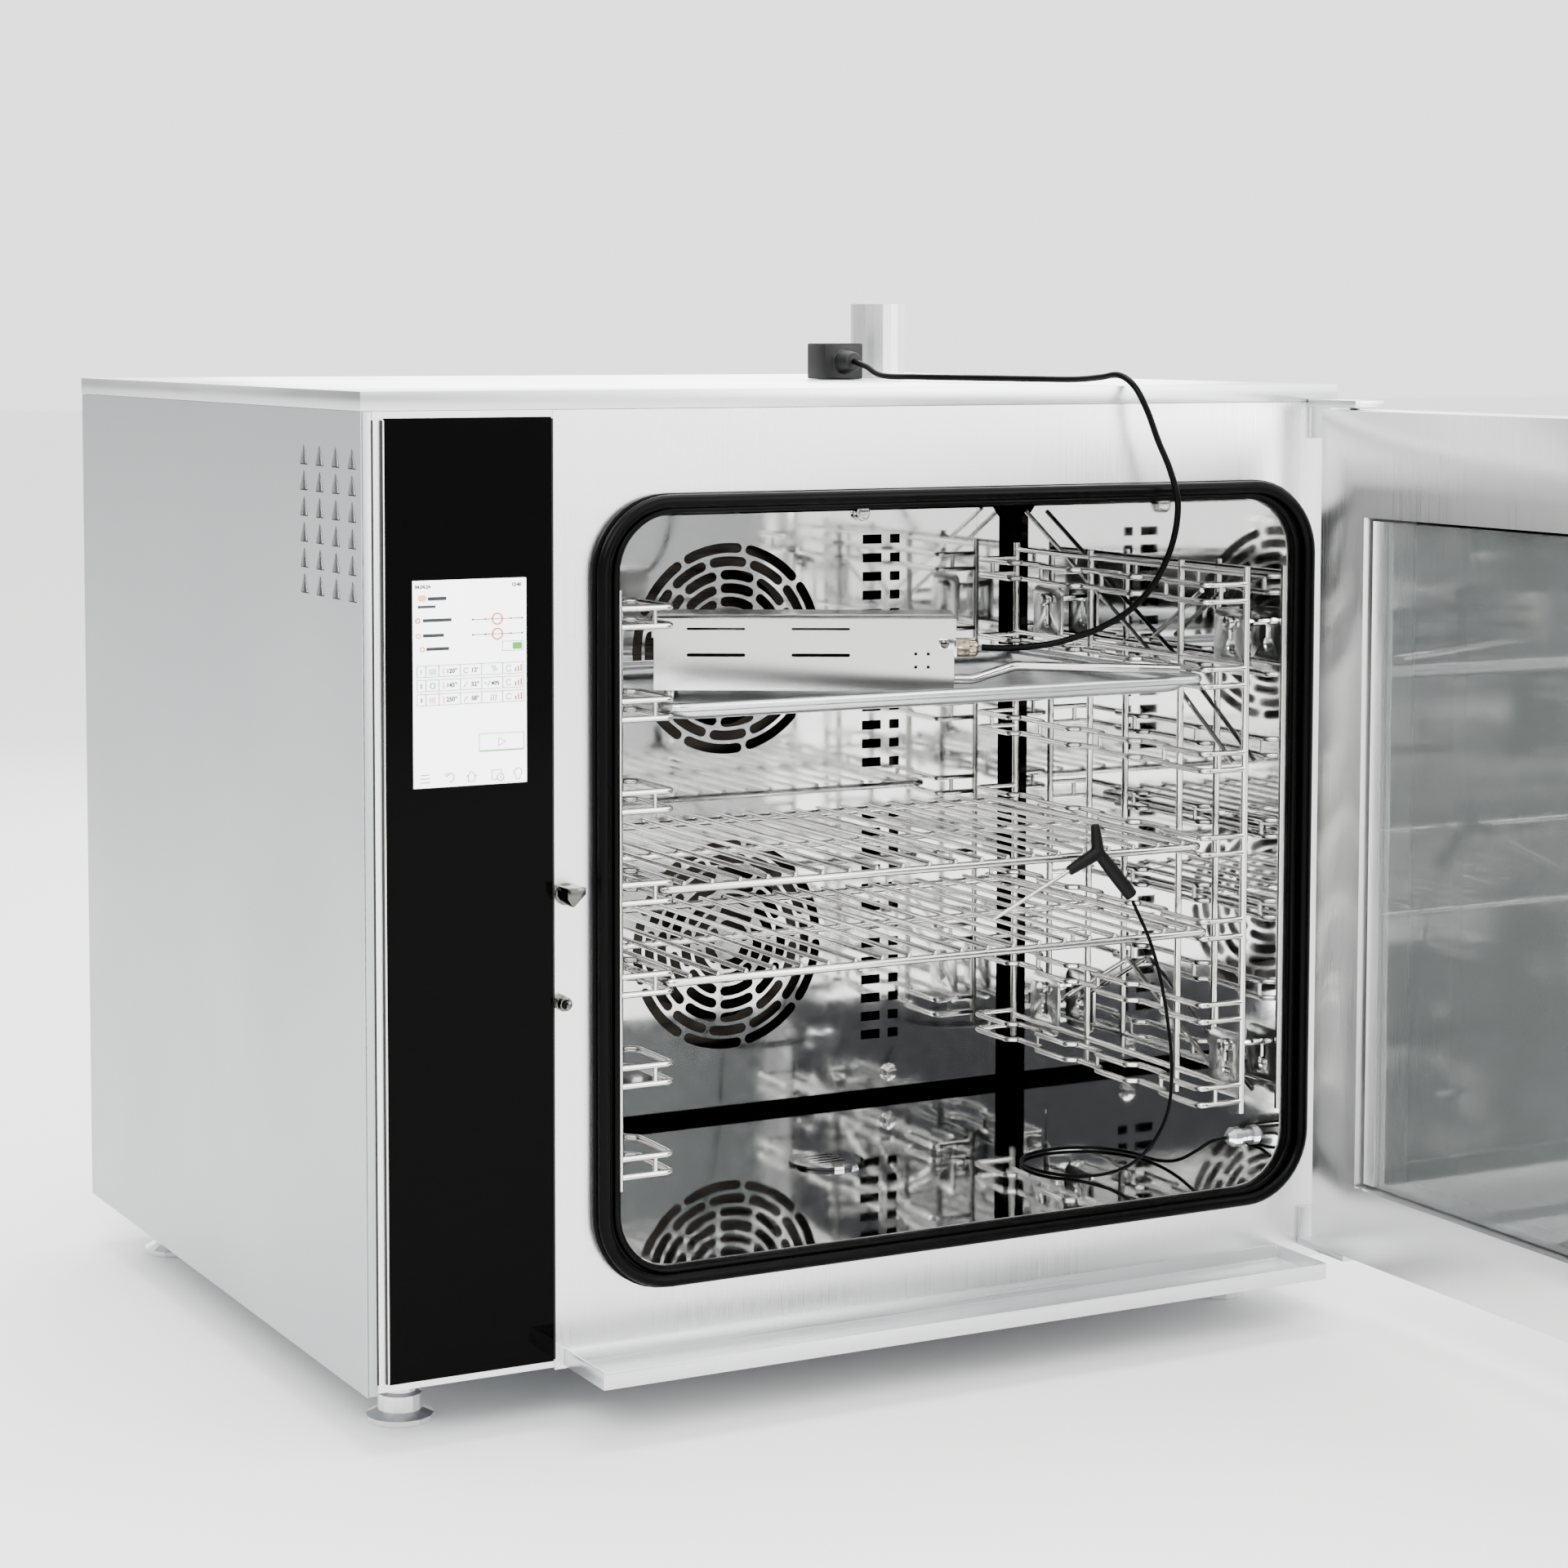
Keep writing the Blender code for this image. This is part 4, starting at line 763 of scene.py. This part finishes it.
def make_display():
    """Plain icons, numbers and sliders in place of the maker's screen."""
    ink = lit("display_ink", "#1d2023", 0.2)
    grey = lit("display_grey", "#2b2f32", 0.15)
    red = lit("display_red", "#a3301f", 0.9)
    orange = lit("display_orange", "#d27a17", 1.0)
    green = lit("display_green", "#2f8f2c", 1.0)
    blue = lit("display_blue", "#1e6f96", 0.9)
    skin = lit("display_salmon", "#e59f80", 1.2)
    pale = lit("display_pale", "#a9ccd2", 1.2)
    numerals("04.04.24", 1.5, 5.4, 2.2, ink, "screen_day")
    numerals("12:40", 77.0, 5.7, 2.2, ink, "screen_clock")
    patch((4.0, 10.4), (10.2, 14.8), skin, "screen_title_mark", radius=1.9)
    patch((11.5, 26.0), (11.7, 14.3), ink, "screen_title_bar", radius=0.4)
    patch((3.7, 17.6), (17.7, 19.7), grey, "screen_subtitle_bar", radius=0.4)
    rows = (
        (28.6, 3.6, (7.6, 30.0), red), (39.6, 4.0, (7.6, 24.0), orange), (49.4, 7.0, (10.2, 28.0), orange)
    )
    for i, (down, across, bar, tint) in enumerate(rows, 1):
        stroke(ring_arc(across, down, 1.6, 0, 2 * math.pi, 14), tint, f"screen_row_mark_{i}", 0.9, True)
        patch(bar, (down - 1.2, down + 1.2), ink, f"screen_row_bar_{i}", radius=0.4)
    for i, down in enumerate((29.2, 40.2), 1):
        stroke([(45.7, down), (85.5, down)], grey, f"screen_slider_{i}", 0.6)
        for j, across in enumerate((46.5, 56.5, 76.5, 85.5), 1):
            x, z = (across - 0.7, across + 0.7), (down - 0.7, down + 0.7)
            patch(x, z, grey, f"screen_slider_{i}_stop_{j}", 0.14, 0.6)
        patch((61.7, 69.7), (down - 4.0, down + 4.0), LIT_WHITE, f"screen_knob_face_{i}", 0.2, 3.9)
        stroke(ring_arc(65.7, down, 3.9, 0, 2 * math.pi, 32), red, f"screen_knob_ring_{i}", 1.0, True)
    stroke(box_line((69.8, 86.2), (45.9, 52.8)), grey, "screen_toggle_frame", closed=True)
    patch((77.7, 85.1), (46.9, 51.8), green, "screen_toggle", 0.5)
    stroke([(80.6, 49.4), (81.9, 50.7), (84.2, 48.2)], LIT_WHITE, "screen_toggle_tick")
    values = (("1", "120°", "12'", ""), ("2", "145°", "52°", "40%"), ("3", "250°", "58°", ""))
    for i, (number, heat, other, share) in enumerate(values, 1):
        top = 51.1 + 10.3 * i
        stroke(box_line((2.9, 86.4), (top, top + 8.2)), grey, f"screen_table_row_{i}", closed=True)
        for j, across in enumerate((9.8, 20.0, 36.6, 53.3, 69.9), 1):
            stroke([(across, top), (across, top + 8.2)], grey, f"screen_table_{i}_line_{j}")
        numerals(number, 5.2, top + 5.6, 2.4, ink, f"screen_step_{i}")
        numerals(heat, 25.6, top + 5.8, 2.8, ink, f"screen_heat_{i}")
        numerals(other, 45.0, top + 5.8, 2.8, ink, f"screen_core_{i}")
        if share:
            numerals(share, 60.8, top + 5.7, 2.4, ink, f"screen_share_{i}")
            for j, (across, down) in enumerate(((56.2, 3.4), (58.4, 4.6), (59.6, 2.8)), 1):
                drop = ring_arc(across, top + down + 0.6, 0.45, 0, 2 * math.pi, 10)
                stroke(drop, blue, f"screen_drop_{j}", closed=True)
        stroke([(23.4, top + 2.2), (23.4, top + 6.6)], red, f"screen_thermometer_{i}", 0.7)
        if i == 1:
            stroke(ring_arc(41.0, top + 4.4, 1.8, 0.6, 6.0, 20), grey, "screen_clock_icon")
        else:
            stroke([(39.0, top + 6.6), (42.2, top + 2.6)], grey, f"screen_probe_icon_{i}")
        stroke(ring_arc(74.8, top + 4.4, 2.1, 0.5, 5.6, 20), grey, f"screen_fan_icon_{i}")
        for j in range(3):
            x = (79.6 + 2.2 * j, 80.7 + 2.2 * j)
            patch(x, (top + 4.0 - 1.1 * j, top + 7.0), red, f"screen_fan_bar_{i}_{j + 1}", 0.12, 0.1)
        if i == 1:
            patch((12.0, 18.0), (top + 2.4, top + 6.8), pale, "screen_steam_mark", 0.12, 0.6)
        elif i == 2:
            stroke(ring_arc(15.0, top + 4.4, 1.9, 0, 2 * math.pi, 20), grey, "screen_mixed_mark", 0.7, True)
        else:
            for j in range(3):
                wave = [(13.0 + 1.7 * j + 0.5 * math.sin(k * 1.3), top + 2.4 + k * 0.6) for k in range(8)]
                stroke(wave, red, f"screen_hot_air_wave_{j + 1}")
    for j in range(3):
        stroke([(61.0 + 1.3 * j, 63.0), (62.8 + 1.3 * j, 67.5)], blue, f"screen_flow_mark_{j + 1}")
        stroke([(60.5 + 1.8 * j, 89.0), (61.2 + 1.8 * j, 84.2)], grey, f"screen_dry_mark_{j + 1}")
    stroke(box_line((51.2, 86.4), (112.9, 125.2)), grey, "screen_start_frame", closed=True)
    stroke([(51.4, 125.4), (86.2, 125.4)], green, "screen_start_underline", 1.1)
    stroke([(66.5, 116.2), (66.5, 122.2), (71.7, 119.2)], ink, "screen_start_mark", 0.7, True)
    for i in range(3):
        stroke([(5.0, 140.6 + 2.8 * i), (12.6, 140.6 + 2.8 * i)], grey, f"screen_menu_line_{i + 1}")
    for name, points in (
        ("back_arc", ring_arc(28.0, 143.4, 3.2, -2.4, 1.7, 24)),
        ("back_head", [(23.6, 140.2), (25.2, 142.4), (27.8, 141.2)]),
        ("home_roof", [(41.2, 143.6), (45.0, 139.6), (48.8, 143.6)]),
        ("home_walls", [(42.4, 142.6), (42.4, 147.2), (47.6, 147.2), (47.6, 142.6)]),
        ("calendar_page", [(65.0, 146.6), (61.0, 146.6), (61.0, 139.8), (68.6, 139.8), (68.6, 142.0)]),
        ("calendar_clock", ring_arc(67.8, 145.2, 2.7, 0, 2 * math.pi, 24)),
        ("calendar_hands", [(67.8, 143.6), (67.8, 145.4), (69.0, 145.9)]),
        ("bulb_glass", ring_arc(81.8, 142.4, 3.0, 2.3, 7.1, 24)),
        ("bulb_cap", [(80.2, 145.0), (80.2, 147.4), (83.4, 147.4), (83.4, 145.0)]),
    ):
        stroke(points, grey, "screen_" + name, closed=name == "calendar_clock")


# ------------------------------------------------------------ cavity

def make_gasket():
    """Hollow silicone seal: a flat foot, a fat outer bulb and a thin inner lip."""
    foot = pierced(
        [
            rounded_box((-83.0, 570.0), (-512.0, 87.5), 60.0, 10),
            rounded_box((-61.5, 548.5), (-497.5, 73.0), 45.0, 10)
        ],
        (-36.0, -30.3), 0.5
    )
    outline = rounded_box((-76.0, 563.0), (-506.5, 82.0), 55.0, 12)
    bulb = tube([(x, -38.8, z) for x, z in outline], 5.2, 4, True)
    inner = rounded_box((-65.0, 552.0), (-500.0, 75.5), 48.0, 12)
    lip = tube([(x, -36.6, z) for x, z in inner], 2.6, 3, True)
    gasket = settle(join(foot, bulb, lip), "seal_bulb_and_lip", RUBBER, "root", 45.0)
    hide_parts("door_gasket")


def arc_slot(cx, cz, radius, start, end, width):
    """A curved slot with round ends, as an outline."""
    half = width / 2
    loop = ring_arc(cx, cz, radius + half, start, end, 6)
    tip = (cx + radius * math.cos(end), cz + radius * math.sin(end))
    loop += ring_arc(*tip, half, end, end + math.pi, 4)[1:-1]
    loop += ring_arc(cx, cz, radius - half, end, start, 6)
    tip = (cx + radius * math.cos(start), cz + radius * math.sin(start))
    loop += ring_arc(*tip, half, start + math.pi, start + 2 * math.pi, 4)[1:-1]
    return loop


def make_baffle():
    """The suction plate: two grilles of staggered arc slots and two columns of square slots."""
    loops = [[(0.0, -488.0), (507.0, -488.0), (507.0, 45.0), (0.0, 45.0)]]
    for fan_z in FAN_Z:
        for ring, count in enumerate((3, 5, 7, 9, 11, 12, 9)):
            radius = 18.0 + 12.0 * ring
            width = 9.0
            step = 2 * math.pi / count
            bridge = (width + 3.5) / radius
            for i in range(count):
                start = step * (i + 0.5 * (ring % 2)) + bridge / 2
                loops.append(arc_slot(FAN_X, fan_z, radius, start, start + step - bridge, width))
    for top in (23.0, -229.0):
        for row in range(13):
            low = top - 8.5 - 17.0 * row
            for x in ((386.8, 406.6), (415.3, 425.7)):
                loops.append([(x[0], low), (x[1], low), (x[1], low + 8.5), (x[0], low + 8.5)])
    sheet = pierced(loops, (BAFFLE_Y, BAFFLE_Y + 1.5))
    fold = pierced(
        [[(507.0, -488.0), (532.0, -488.0), (532.0, 35.6), (525.0, 45.0), (507.0, 45.0)]],
        (BAFFLE_Y + 0.4, BAFFLE_Y + 1.9)
    )
    fold_edge = tube([(507.0, BAFFLE_Y + 1.2, -488.0), (507.0, BAFFLE_Y + 1.2, 45.0)], 1.3)
    plate = settle(join(sheet, fold, fold_edge), "suction_plate", MIRROR_FLAT, "root")
    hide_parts("fan_baffle")
    hook = drum("Y", (383.9, BAFFLE_Y - 7.0, 43.0), 7.0, 7.2, 32, 1.2)
    washer = drum("Y", (416.2, BAFFLE_Y - 1.6, -474.3), 1.5, 8.2, 32, 0.4)
    head = drum("Y", (416.2, BAFFLE_Y - 6.0, -474.3), 4.6, 6.2, 6, 0.6)
    second_washer = drum("Y", (80.0, BAFFLE_Y - 1.6, -474.3), 1.5, 8.2, 32, 0.4)
    second_head = drum("Y", (80.0, BAFFLE_Y - 6.0, -474.3), 4.6, 6.2, 6, 0.6)
    settle(
        join(hook, washer, head, second_washer, second_head), "suction_plate_bolts", BRIGHT_WIRE, "root",
    )


def make_heaters():
    """Three close turns of sheathed heater round each wheel, and their leads through the rear wall."""
    for place, fan_z in zip(("upper", "lower"), FAN_Z):
        turns = []
        for i in range(97):
            angle = math.radians(-50 + 340 * i / 32)
            turns.append(
                (FAN_X + 119 * math.cos(angle), 432.0 + 12.5 * i / 32, fan_z + 119 * math.sin(angle))
            )
        coil = tube(turns, 3.6, 2)
        leads = [
            tube([(FAN_X + 60 + lead, 452.0, fan_z - 95), (FAN_X + 60 + lead, 530.0, fan_z - 95)], 3.6, 2)
            for lead in (0, 24)
        ]
        heater = settle(join(coil, *leads), f"heater_coil_{place}", ELEMENT, "root", 60.0)
        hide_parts(f"heating_element_{place}")


# ------------------------------------------------------------ racks, shelves, tray

JOGS = ((66.0, 104.0), (165.0, 200.0), (263.0, 299.0))
JOG_OUT = 9.5
STUDS = ((20.0, -34.0), (305.0, -34.0), (20.0, -390.0), (305.0, -390.0))


def make_racks():
    """Two hanging racks of electropolished wire; each rail steps outwards three times to form its stops."""
    for side, rail, post in zip(("left", "right"), RAIL_X, POST_X):
        out = 1 if post > rail else -1
        wires = []
        low = -PITCH * (LEVELS - 1) - RAIL_DROP - 10
        for y in ((0, RAIL_BACK) if side == "left" else (0, 95, 236, RAIL_BACK)):
            wires.append(tube([(post, y, low), (post, y, 14.0)], 3.0))
        for level in range(LEVELS):
            for drop in (0.0, RAIL_DROP):
                z = -PITCH * level - drop
                path = [(post, 0, z), (rail, 0, z)]
                for start, end in JOGS:
                    path += [
                        (rail, start - 7, z), (rail + out * JOG_OUT, start, z),
                        (rail + out * JOG_OUT, end, z), (rail, end + 7, z)
                    ]
                path += [(rail, RAIL_BACK, z), (post, RAIL_BACK, z)]
                wires.append(tube(eased(path, 7.0), 2.5))
            top = -PITCH * level
            for y in (0, RAIL_BACK):
                wires.append(tube([(rail + out * 15, y, top - RAIL_DROP), (rail + out * 15, y, top)], 2.0))
            for start, end in JOGS:
                wires.append(
                    tube(
                        [
                            (rail + out * JOG_OUT, start + 6, top - RAIL_DROP),
                            (rail + out * JOG_OUT, start + 6, top)
                        ],
                        2.0
                    )
                )
        for z in (8.0, -68.0, -424.0):
            wires.append(tube([(post, -1, z), (post, RAIL_BACK + 1, z)], 2.5))
        if side == "right":
            for path in (
                [(post + 8, 25, -432), (post + 8, 183, -344), (post + 8, 298, -403)],
                [(post + 8, 357, 42), (post + 8, 139, -77), (post + 8, 27, -153)],
                [(post + 8, 76, -11), (post + 8, 147, -55)],
            ):
                wires.append(tube(eased(path, 12.0), 2.2))
        rack = settle(join(*wires), f"wire_rack_{side}", BRIGHT_WIRE, "root", 60.0)
        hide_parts(f"rack_{side}")
        plates = []
        for y, z in STUDS:
            slot = ring_arc(y, z, 3.6, 0, math.pi, 8) + [(y - 3.6, z - 14)]
            slot += ring_arc(y, z - 19, 6.8, math.pi * 0.75, math.pi * 2.25, 12) + [(y + 3.6, z - 14)]
            loops = [rounded_box((y - 22, y + 24), (z - 42, z + 12), 9.0), slot]
            plate = pierced(loops, (-1.5, 1.5), 0.4)
            plates.append(carried(plate, math.pi / 2, (post, 0, 0)))
        settle(join(*plates), f"rack_plates_{side}", BRIGHT_SHEET, "root")
        head_x = post - out * 6.5 - (3.5 if out < 0 else 0)
        heads = [drum("X", (head_x, y, z), 3.5, 6.2, 24, 0.8) for y, z in STUDS]
        settle(join(*heads), f"rack_stud_heads_{side}", BRIGHT_WIRE, "root")


def make_shelf(name, level, front, body):
    """A welded wire shelf: a bent frame, one cross bar and twenty wires with rounded ends."""
    axis_z = -PITCH * level - RAIL_DROP + 2.5 + 3.3 + GAP
    back = front + 318.0
    left, right = -7.0, 495.0
    outline = [
        (left + 3.3, front, axis_z), (right - 3.3, front, axis_z), (right - 3.3, back, axis_z),
        (left + 3.3, back, axis_z)
    ]
    loop = eased(
        [
            ((left + right) / 2, front, axis_z), outline[1], outline[2], outline[3], outline[0],
            ((left + right) / 2 - 0.01, front, axis_z)
        ],
        8.0
    )
    wires = [tube(loop, 3.3, 4)]
    wires.append(
        tube([(left + 3.3, (front + back) / 2, axis_z), (right - 3.3, (front + back) / 2, axis_z)], 2.8, 3)
    )
    for i in range(20):
        x = 13.8 + 24.2 * i
        z = axis_z + 3.3 + 2.0 - 0.7
        path = [
            (x, front - 3.0, z), (x, front - 2.2, z), (x, front - 1.0, z), (x, back + 1.0, z),
            (x, back + 2.2, z), (x, back + 3.0, z)
        ]
        wires.append(tube(path, 2.0, 3, radii=[0.55, 0.88, 1.0, 1.0, 0.88, 0.55]))
    shelf = settle(join(*wires), "welded_" + name, BRIGHT_WIRE, body, 60.0)
    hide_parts(name)


def make_tray():
    """A shallow pressed sheet: flat floor, round corners and a tall rolled rim."""
    rim_z = -81.3
    calm()
    centre = at(244.0, 159.5, rim_z - 6.75)
    bpy.ops.mesh.primitive_plane_add(size=1.0, location=centre)
    pan = bpy.context.object
    pan.scale = (0.464, 0.2857, 1.0)
    bpy.ops.object.transform_apply()
    edit_all()
    bpy.ops.mesh.bevel(offset=0.020, segments=8, affect="VERTICES")
    width, depth = 0.464, 0.2857
    bpy.ops.mesh.select_all(action="DESELECT")
    bpy.ops.mesh.select_mode(type="EDGE")
    bpy.ops.mesh.select_all(action="SELECT")
    bpy.ops.mesh.region_to_loop()
    steps = (
        (2.6, 0.8), (2.4, 1.6), (1.6, 2.6), (0.6, 2.2), (9.0, 0.2), (1.4, 0.9), (0.6, 1.8), (-0.2, 1.8),
        (-1.0, 1.4), (-1.6, 0.5),
    )
    for out, up in steps:
        grown = ((width + 2 * out * MM) / width, (depth + 2 * out * MM) / depth, 1.0)
        bpy.ops.mesh.extrude_edges_move(TRANSFORM_OT_translate={"value": (0, 0, up * MM)})
        bpy.ops.transform.resize(value=grown, center_override=centre)
        width += 2 * out * MM
        depth += 2 * out * MM
    face_outwards(inside=True)
    skin = pan.modifiers.new("sheet", "SOLIDIFY")
    skin.thickness = 0.9 * MM
    skin.offset = 0.0
    pan = settle(pan, "pressed_pan", STEEL_X, "tray", 40.0)
    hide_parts("baking_tray")


# ------------------------------------------------------------ smoker

def turned_home(obj):
    """Moves a piece drawn in the smoker's own frame to its turned place on the tray."""
    return carried(obj, SMOKER_TURN, SMOKER_CORNER)


def make_smoker():
    length, depth = 244.0, 90.0
    low, top = -79.6, -21.6
    chips_x = ((-216.0, -169.0), (-132.0, -85.0))
    face = [[(-length + 1.6, low), (-1.6, low), (-1.6, top - 2.0), (-length + 1.6, top - 2.0)]]
    face += [rounded_box(x, (top - 31.0, top - 28.2), 1.2, 3) for x in chips_x]
    face += [rounded_box(x, (top - 10.6, top - 6.4), 0.9, 3) for x in chips_x]
    for x in (-33.5, -23.5):
        for z in (top - 27.4, top - 38.0):
            face.append([(x, z - 2.2), (x + 2.4, z - 2.2), (x + 2.4, z + 0.2), (x, z + 0.2)])
    front = pierced(face, (1.6, 2.8))
    walls = [
        slab((-length + 1.6, -1.6), (depth - 2.8, depth - 1.6), (low, top - 2.0), 0.3),
        slab((-length + 1.6, -length + 2.8), (2.0, depth - 2.0), (low, top - 2.0), 0.3),
        slab((-2.8, -1.6), (2.0, depth - 2.0), (low, top - 2.0), 0.3),
        slab((-length + 1.6, -1.6), (2.0, depth - 2.0), (low, low + 1.2), 0.3),
    ]
    walls += [
        drum("Z", (x, y, low - 7.4), 7.8, 5.0, 28, 0.8)
        for x in (-length + 14, -14) for y in (14, depth - 14)
    ]
    box = settle(
        turned_home(join(front, *walls)), "folded_smoker_box", BRIGHT_SHEET, "tray"
    )
    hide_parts("smoker_box")
    skirt = [[(-length, top - 15.5), (0.0, top - 15.5), (0.0, top), (-length, top)]]
    skirt += [rounded_box(x, (top - 9.4, top - 7.4), 0.9, 3) for x in chips_x]
    lid_parts = [
        pierced(skirt, (0.0, 1.2)),
        slab((-length, 0.0), (0.0, depth), (top - 1.2, top), 0.5),
        slab((-length, -length + 1.2), (0.0, depth), (top - 15.5, top), 0.4),
        slab((-1.2, 0.0), (0.0, depth), (top - 15.5, top), 0.4),
    ]
    lid = settle(
        turned_home(join(*lid_parts)), "folded_smoker_lid", BRIGHT_SHEET, "smoker_lid"
    )
    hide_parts("smoker_lid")
    tab = slab((-14.0, -1.0), (0.4, 1.5), (-46.5, -37.8), 0.5)
    tab_end = slab((-2.0, 0.6), (0.4, 24.0), (-52.5, -37.8), 0.4)
    settle(turned_home(join(tab, tab_end)), "gland_bracket", BRIGHT_SHEET, "tray")
    screw = lathe(
        [(0.0, -1.5), (2.0, -1.4), (3.4, -0.6), (3.6, 0.3), (0.0, 0.3)], (-9.2, 0.4, -42.0), "Y", 28
    )
    settle(turned_home(screw), "gland_bracket_screw", DARK_STEEL, "tray")
    nut = drum("X", (0.8, 18.0, -46.0), 10.5, 8.6, 6, 0.8)
    collar = lathe(
        [(0, 18.8), (4.2, 18.8), (6.2, 18.0), (7.4, 16.2), (7.4, 11.3), (0, 11.3)], (0.0, 18.0, -46.0), "X",
        32
    )
    ribs = [
        drum("X", (11.4, 18.0 + 7.0 * math.cos(a), -46.0 + 7.0 * math.sin(a)), 4.6, 0.9, 10)
        for a in [math.pi * i / 8 for i in range(16)]
    ]
    gland = settle(turned_home(join(nut, collar, *ribs)), "cable_gland", BRASS, "tray")
    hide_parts("smoker_gland")
    path = eased([(-1.0, 6, -70.5), (14, 6, -70.5), (47, 9, -60), (150, 42, -65), (184, 58, -67.5)], 20.0)
    handle = settle(
        turned_home(tube(path, 4.0, 4)), "bent_wire_handle", BRIGHT_WIRE, "tray", 60.0
    )
    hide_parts("smoker_handle")


# ------------------------------------------------------------ cords

SMOKER_ROUTE = (
    (294.9, 36.2, -46.0), (312.0, 27.0, -46.6), (338.0, 12.0, -44.0), (358.0, -2.0, -38.0),
    (379.0, -18.0, -27.0),
    (397.0, -34.0, -10.0), (410.0, -46.0, 13.0), (419.0, -53.0, 42.0), (421.0, -56.0, 72.0),
    (414.0, -55.0, 98.0),
    (404.0, -52.0, 122.0), (396.0, -48.0, 146.0), (390.0, -38.5, 165.0), (386.0, -22.0, 173.5),
    (383.0, 0.0, 171.5),
    (380.0, 35.0, 169.3), (370.0, 90.0, 169.0), (352.0, 150.0, 169.0), (336.0, 210.0, 169.0),
    (330.0, 262.0, 169.5),
    (330.0, 290.0, 177.0), (330.0, 311.5, 181.0),
)
PROBE_Y = -9.0
PROBE_ROUTE = (
    (412.8, PROBE_Y, -254.6), (417.0, PROBE_Y - 1, -264.0), (428.0, PROBE_Y - 3, -288.0),
    (437.0, PROBE_Y - 5, -318.0),
    (444.5, PROBE_Y - 6, -356.0), (449.5, PROBE_Y - 5, -394.0), (449.0, PROBE_Y - 1, -432.0),
    (443.0, 8.0, -466.0),
    (428.0, 26.0, -486.0), (406.0, 48.0, -494.6), (386.0, 76.0, -495.2), (384.0, 110.0, -495.2),
    (404.0, 136.0, -495.2),
    (438.0, 144.0, -495.2), (470.0, 132.0, -495.2), (488.0, 104.0, -495.2), (492.0, 70.0, -495.0),
    (496.0, 44.0, -490.0),
    (504.0, 27.0, -479.0), (515.0, 22.2, -471.5), (530.5, 22.0, -470.0),
)


def smooth_route(points, per_span=5):
    """Points on a Catmull-Rom curve through a cord's own points."""
    knots = [
        2 * Vector(points[0]) - Vector(points[1]), *map(Vector, points),
        2 * Vector(points[-1]) - Vector(points[-2])
    ]
    out = []
    for a, b, c, d in zip(knots, knots[1:], knots[2:], knots[3:]):
        for i in range(per_span):
            t = i / per_span
            out.append(
                0.5 * (
                    2 * b + (c - a) * t + (
                        2 * a - 5 * b + 4 * c - d
                    ) * t * t + (3 * b - a - 3 * c + d) * t**3
                )
            )
    out.append(Vector(points[-1]))
    return out


def make_cord(name, node_name, route, diameter):
    line = smooth_route(route)
    cable = tube(line, diameter / 2, 4)
    take(cable)
    bpy.ops.object.shade_smooth_by_angle(angle=math.radians(60))
    cable.name = name
    dress(cable, RUBBER)
    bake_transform(cable)
    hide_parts(node_name)


# ------------------------------------------------------------ core probe

def make_probe():
    """A moulded Y grip: tapered bar and arm, merged in one skin, with a steel needle."""
    hub = (379.0, PROBE_Y, -212.5)
    foot = (411.5, PROBE_Y, -250.0)
    head = (375.8, PROBE_Y, -189.6)
    neck = (351.2, PROBE_Y, -225.8)
    bar = tube(
        [head, Vector(head).lerp(Vector(hub), 0.5), hub, Vector(hub).lerp(Vector(foot), 0.55), foot], 5.9,
        6, radii=[0.62, 0.8, 0.92, 1.0, 0.96]
    )
    arm = tube([hub, Vector(hub).lerp(Vector(neck), 0.5), neck], 5.2, 6, radii=[1.15, 0.98, 0.82])
    take(bar)
    grip = join(bar, arm)
    grip.data.remesh_voxel_size = 0.0007
    take(grip)
    bpy.ops.object.voxel_remesh()
    ease = grip.modifiers.new("ease", "SMOOTH")
    ease.factor = 0.6
    ease.iterations = 14
    grip = settle(grip, "moulded_probe_grip", GRIP, "shelf_upper", 80.0)
    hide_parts("probe_grip")
    way = (Vector(neck) - Vector(hub)).normalized()
    tip = Vector(neck) + way * 80.0
    needle = tube([Vector(neck) - way * 2.0, tip - way * 8.0, tip], 1.6, 4, radii=[1.0, 1.0, 0.2])
    needle = settle(needle, "probe_spike", BRIGHT_WIRE, "shelf_upper", 60.0)
    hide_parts("probe_needle")
    clip = tube(
        eased(
            [
                (383.0, 2.0, -207.5), (383.0, 9.0, -205.0), (383.0, 16.0, -209.0), (383.0, 16.5, -222.0),
                (383.0, 4.0, -226.0)
            ],
            5.0
        ),
        1.1, 3
    )
    settle(clip, "probe_wire_clip", BRIGHT_WIRE, "shelf_upper", 60.0)


# ------------------------------------------------------------ put it together

make_camera()
make_studio()
for cad_name, cad_object in frame["nodes"].items():
    dress(cad_object, CAD_FINISH[cad_name])
calm()
make_left_panel()
make_column_trim()
make_display()
make_gasket()
make_baffle()
make_heaters()
make_racks()
make_shelf("wire_shelf_upper", 3, 10.0, "shelf_upper")
make_shelf("wire_shelf_lower", 4, 0.0, "shelf_lower")
make_tray()
make_smoker()
make_probe()
make_cord(
    "smoker_lead", "smoker_cable", SMOKER_ROUTE, 5.2,
)
make_cord(
    "probe_lead", "probe_cable", PROBE_ROUTE, 3.0,
)
for cad_name, edge in {
    "latch_striker": 0.5, "door_switch_body": 0.4, "door_frame": 1.2, "handle_mount": 2.0,
    "door_handle": 3.0,
    "door_hinge_top": 1.0, "door_hinge_bottom": 1.0, "smoker_socket": 1.5, "drip_gutter": 0.4,
    "top_panel": 1.0,
}.items():
    softened(cad_name, edge)

calm()
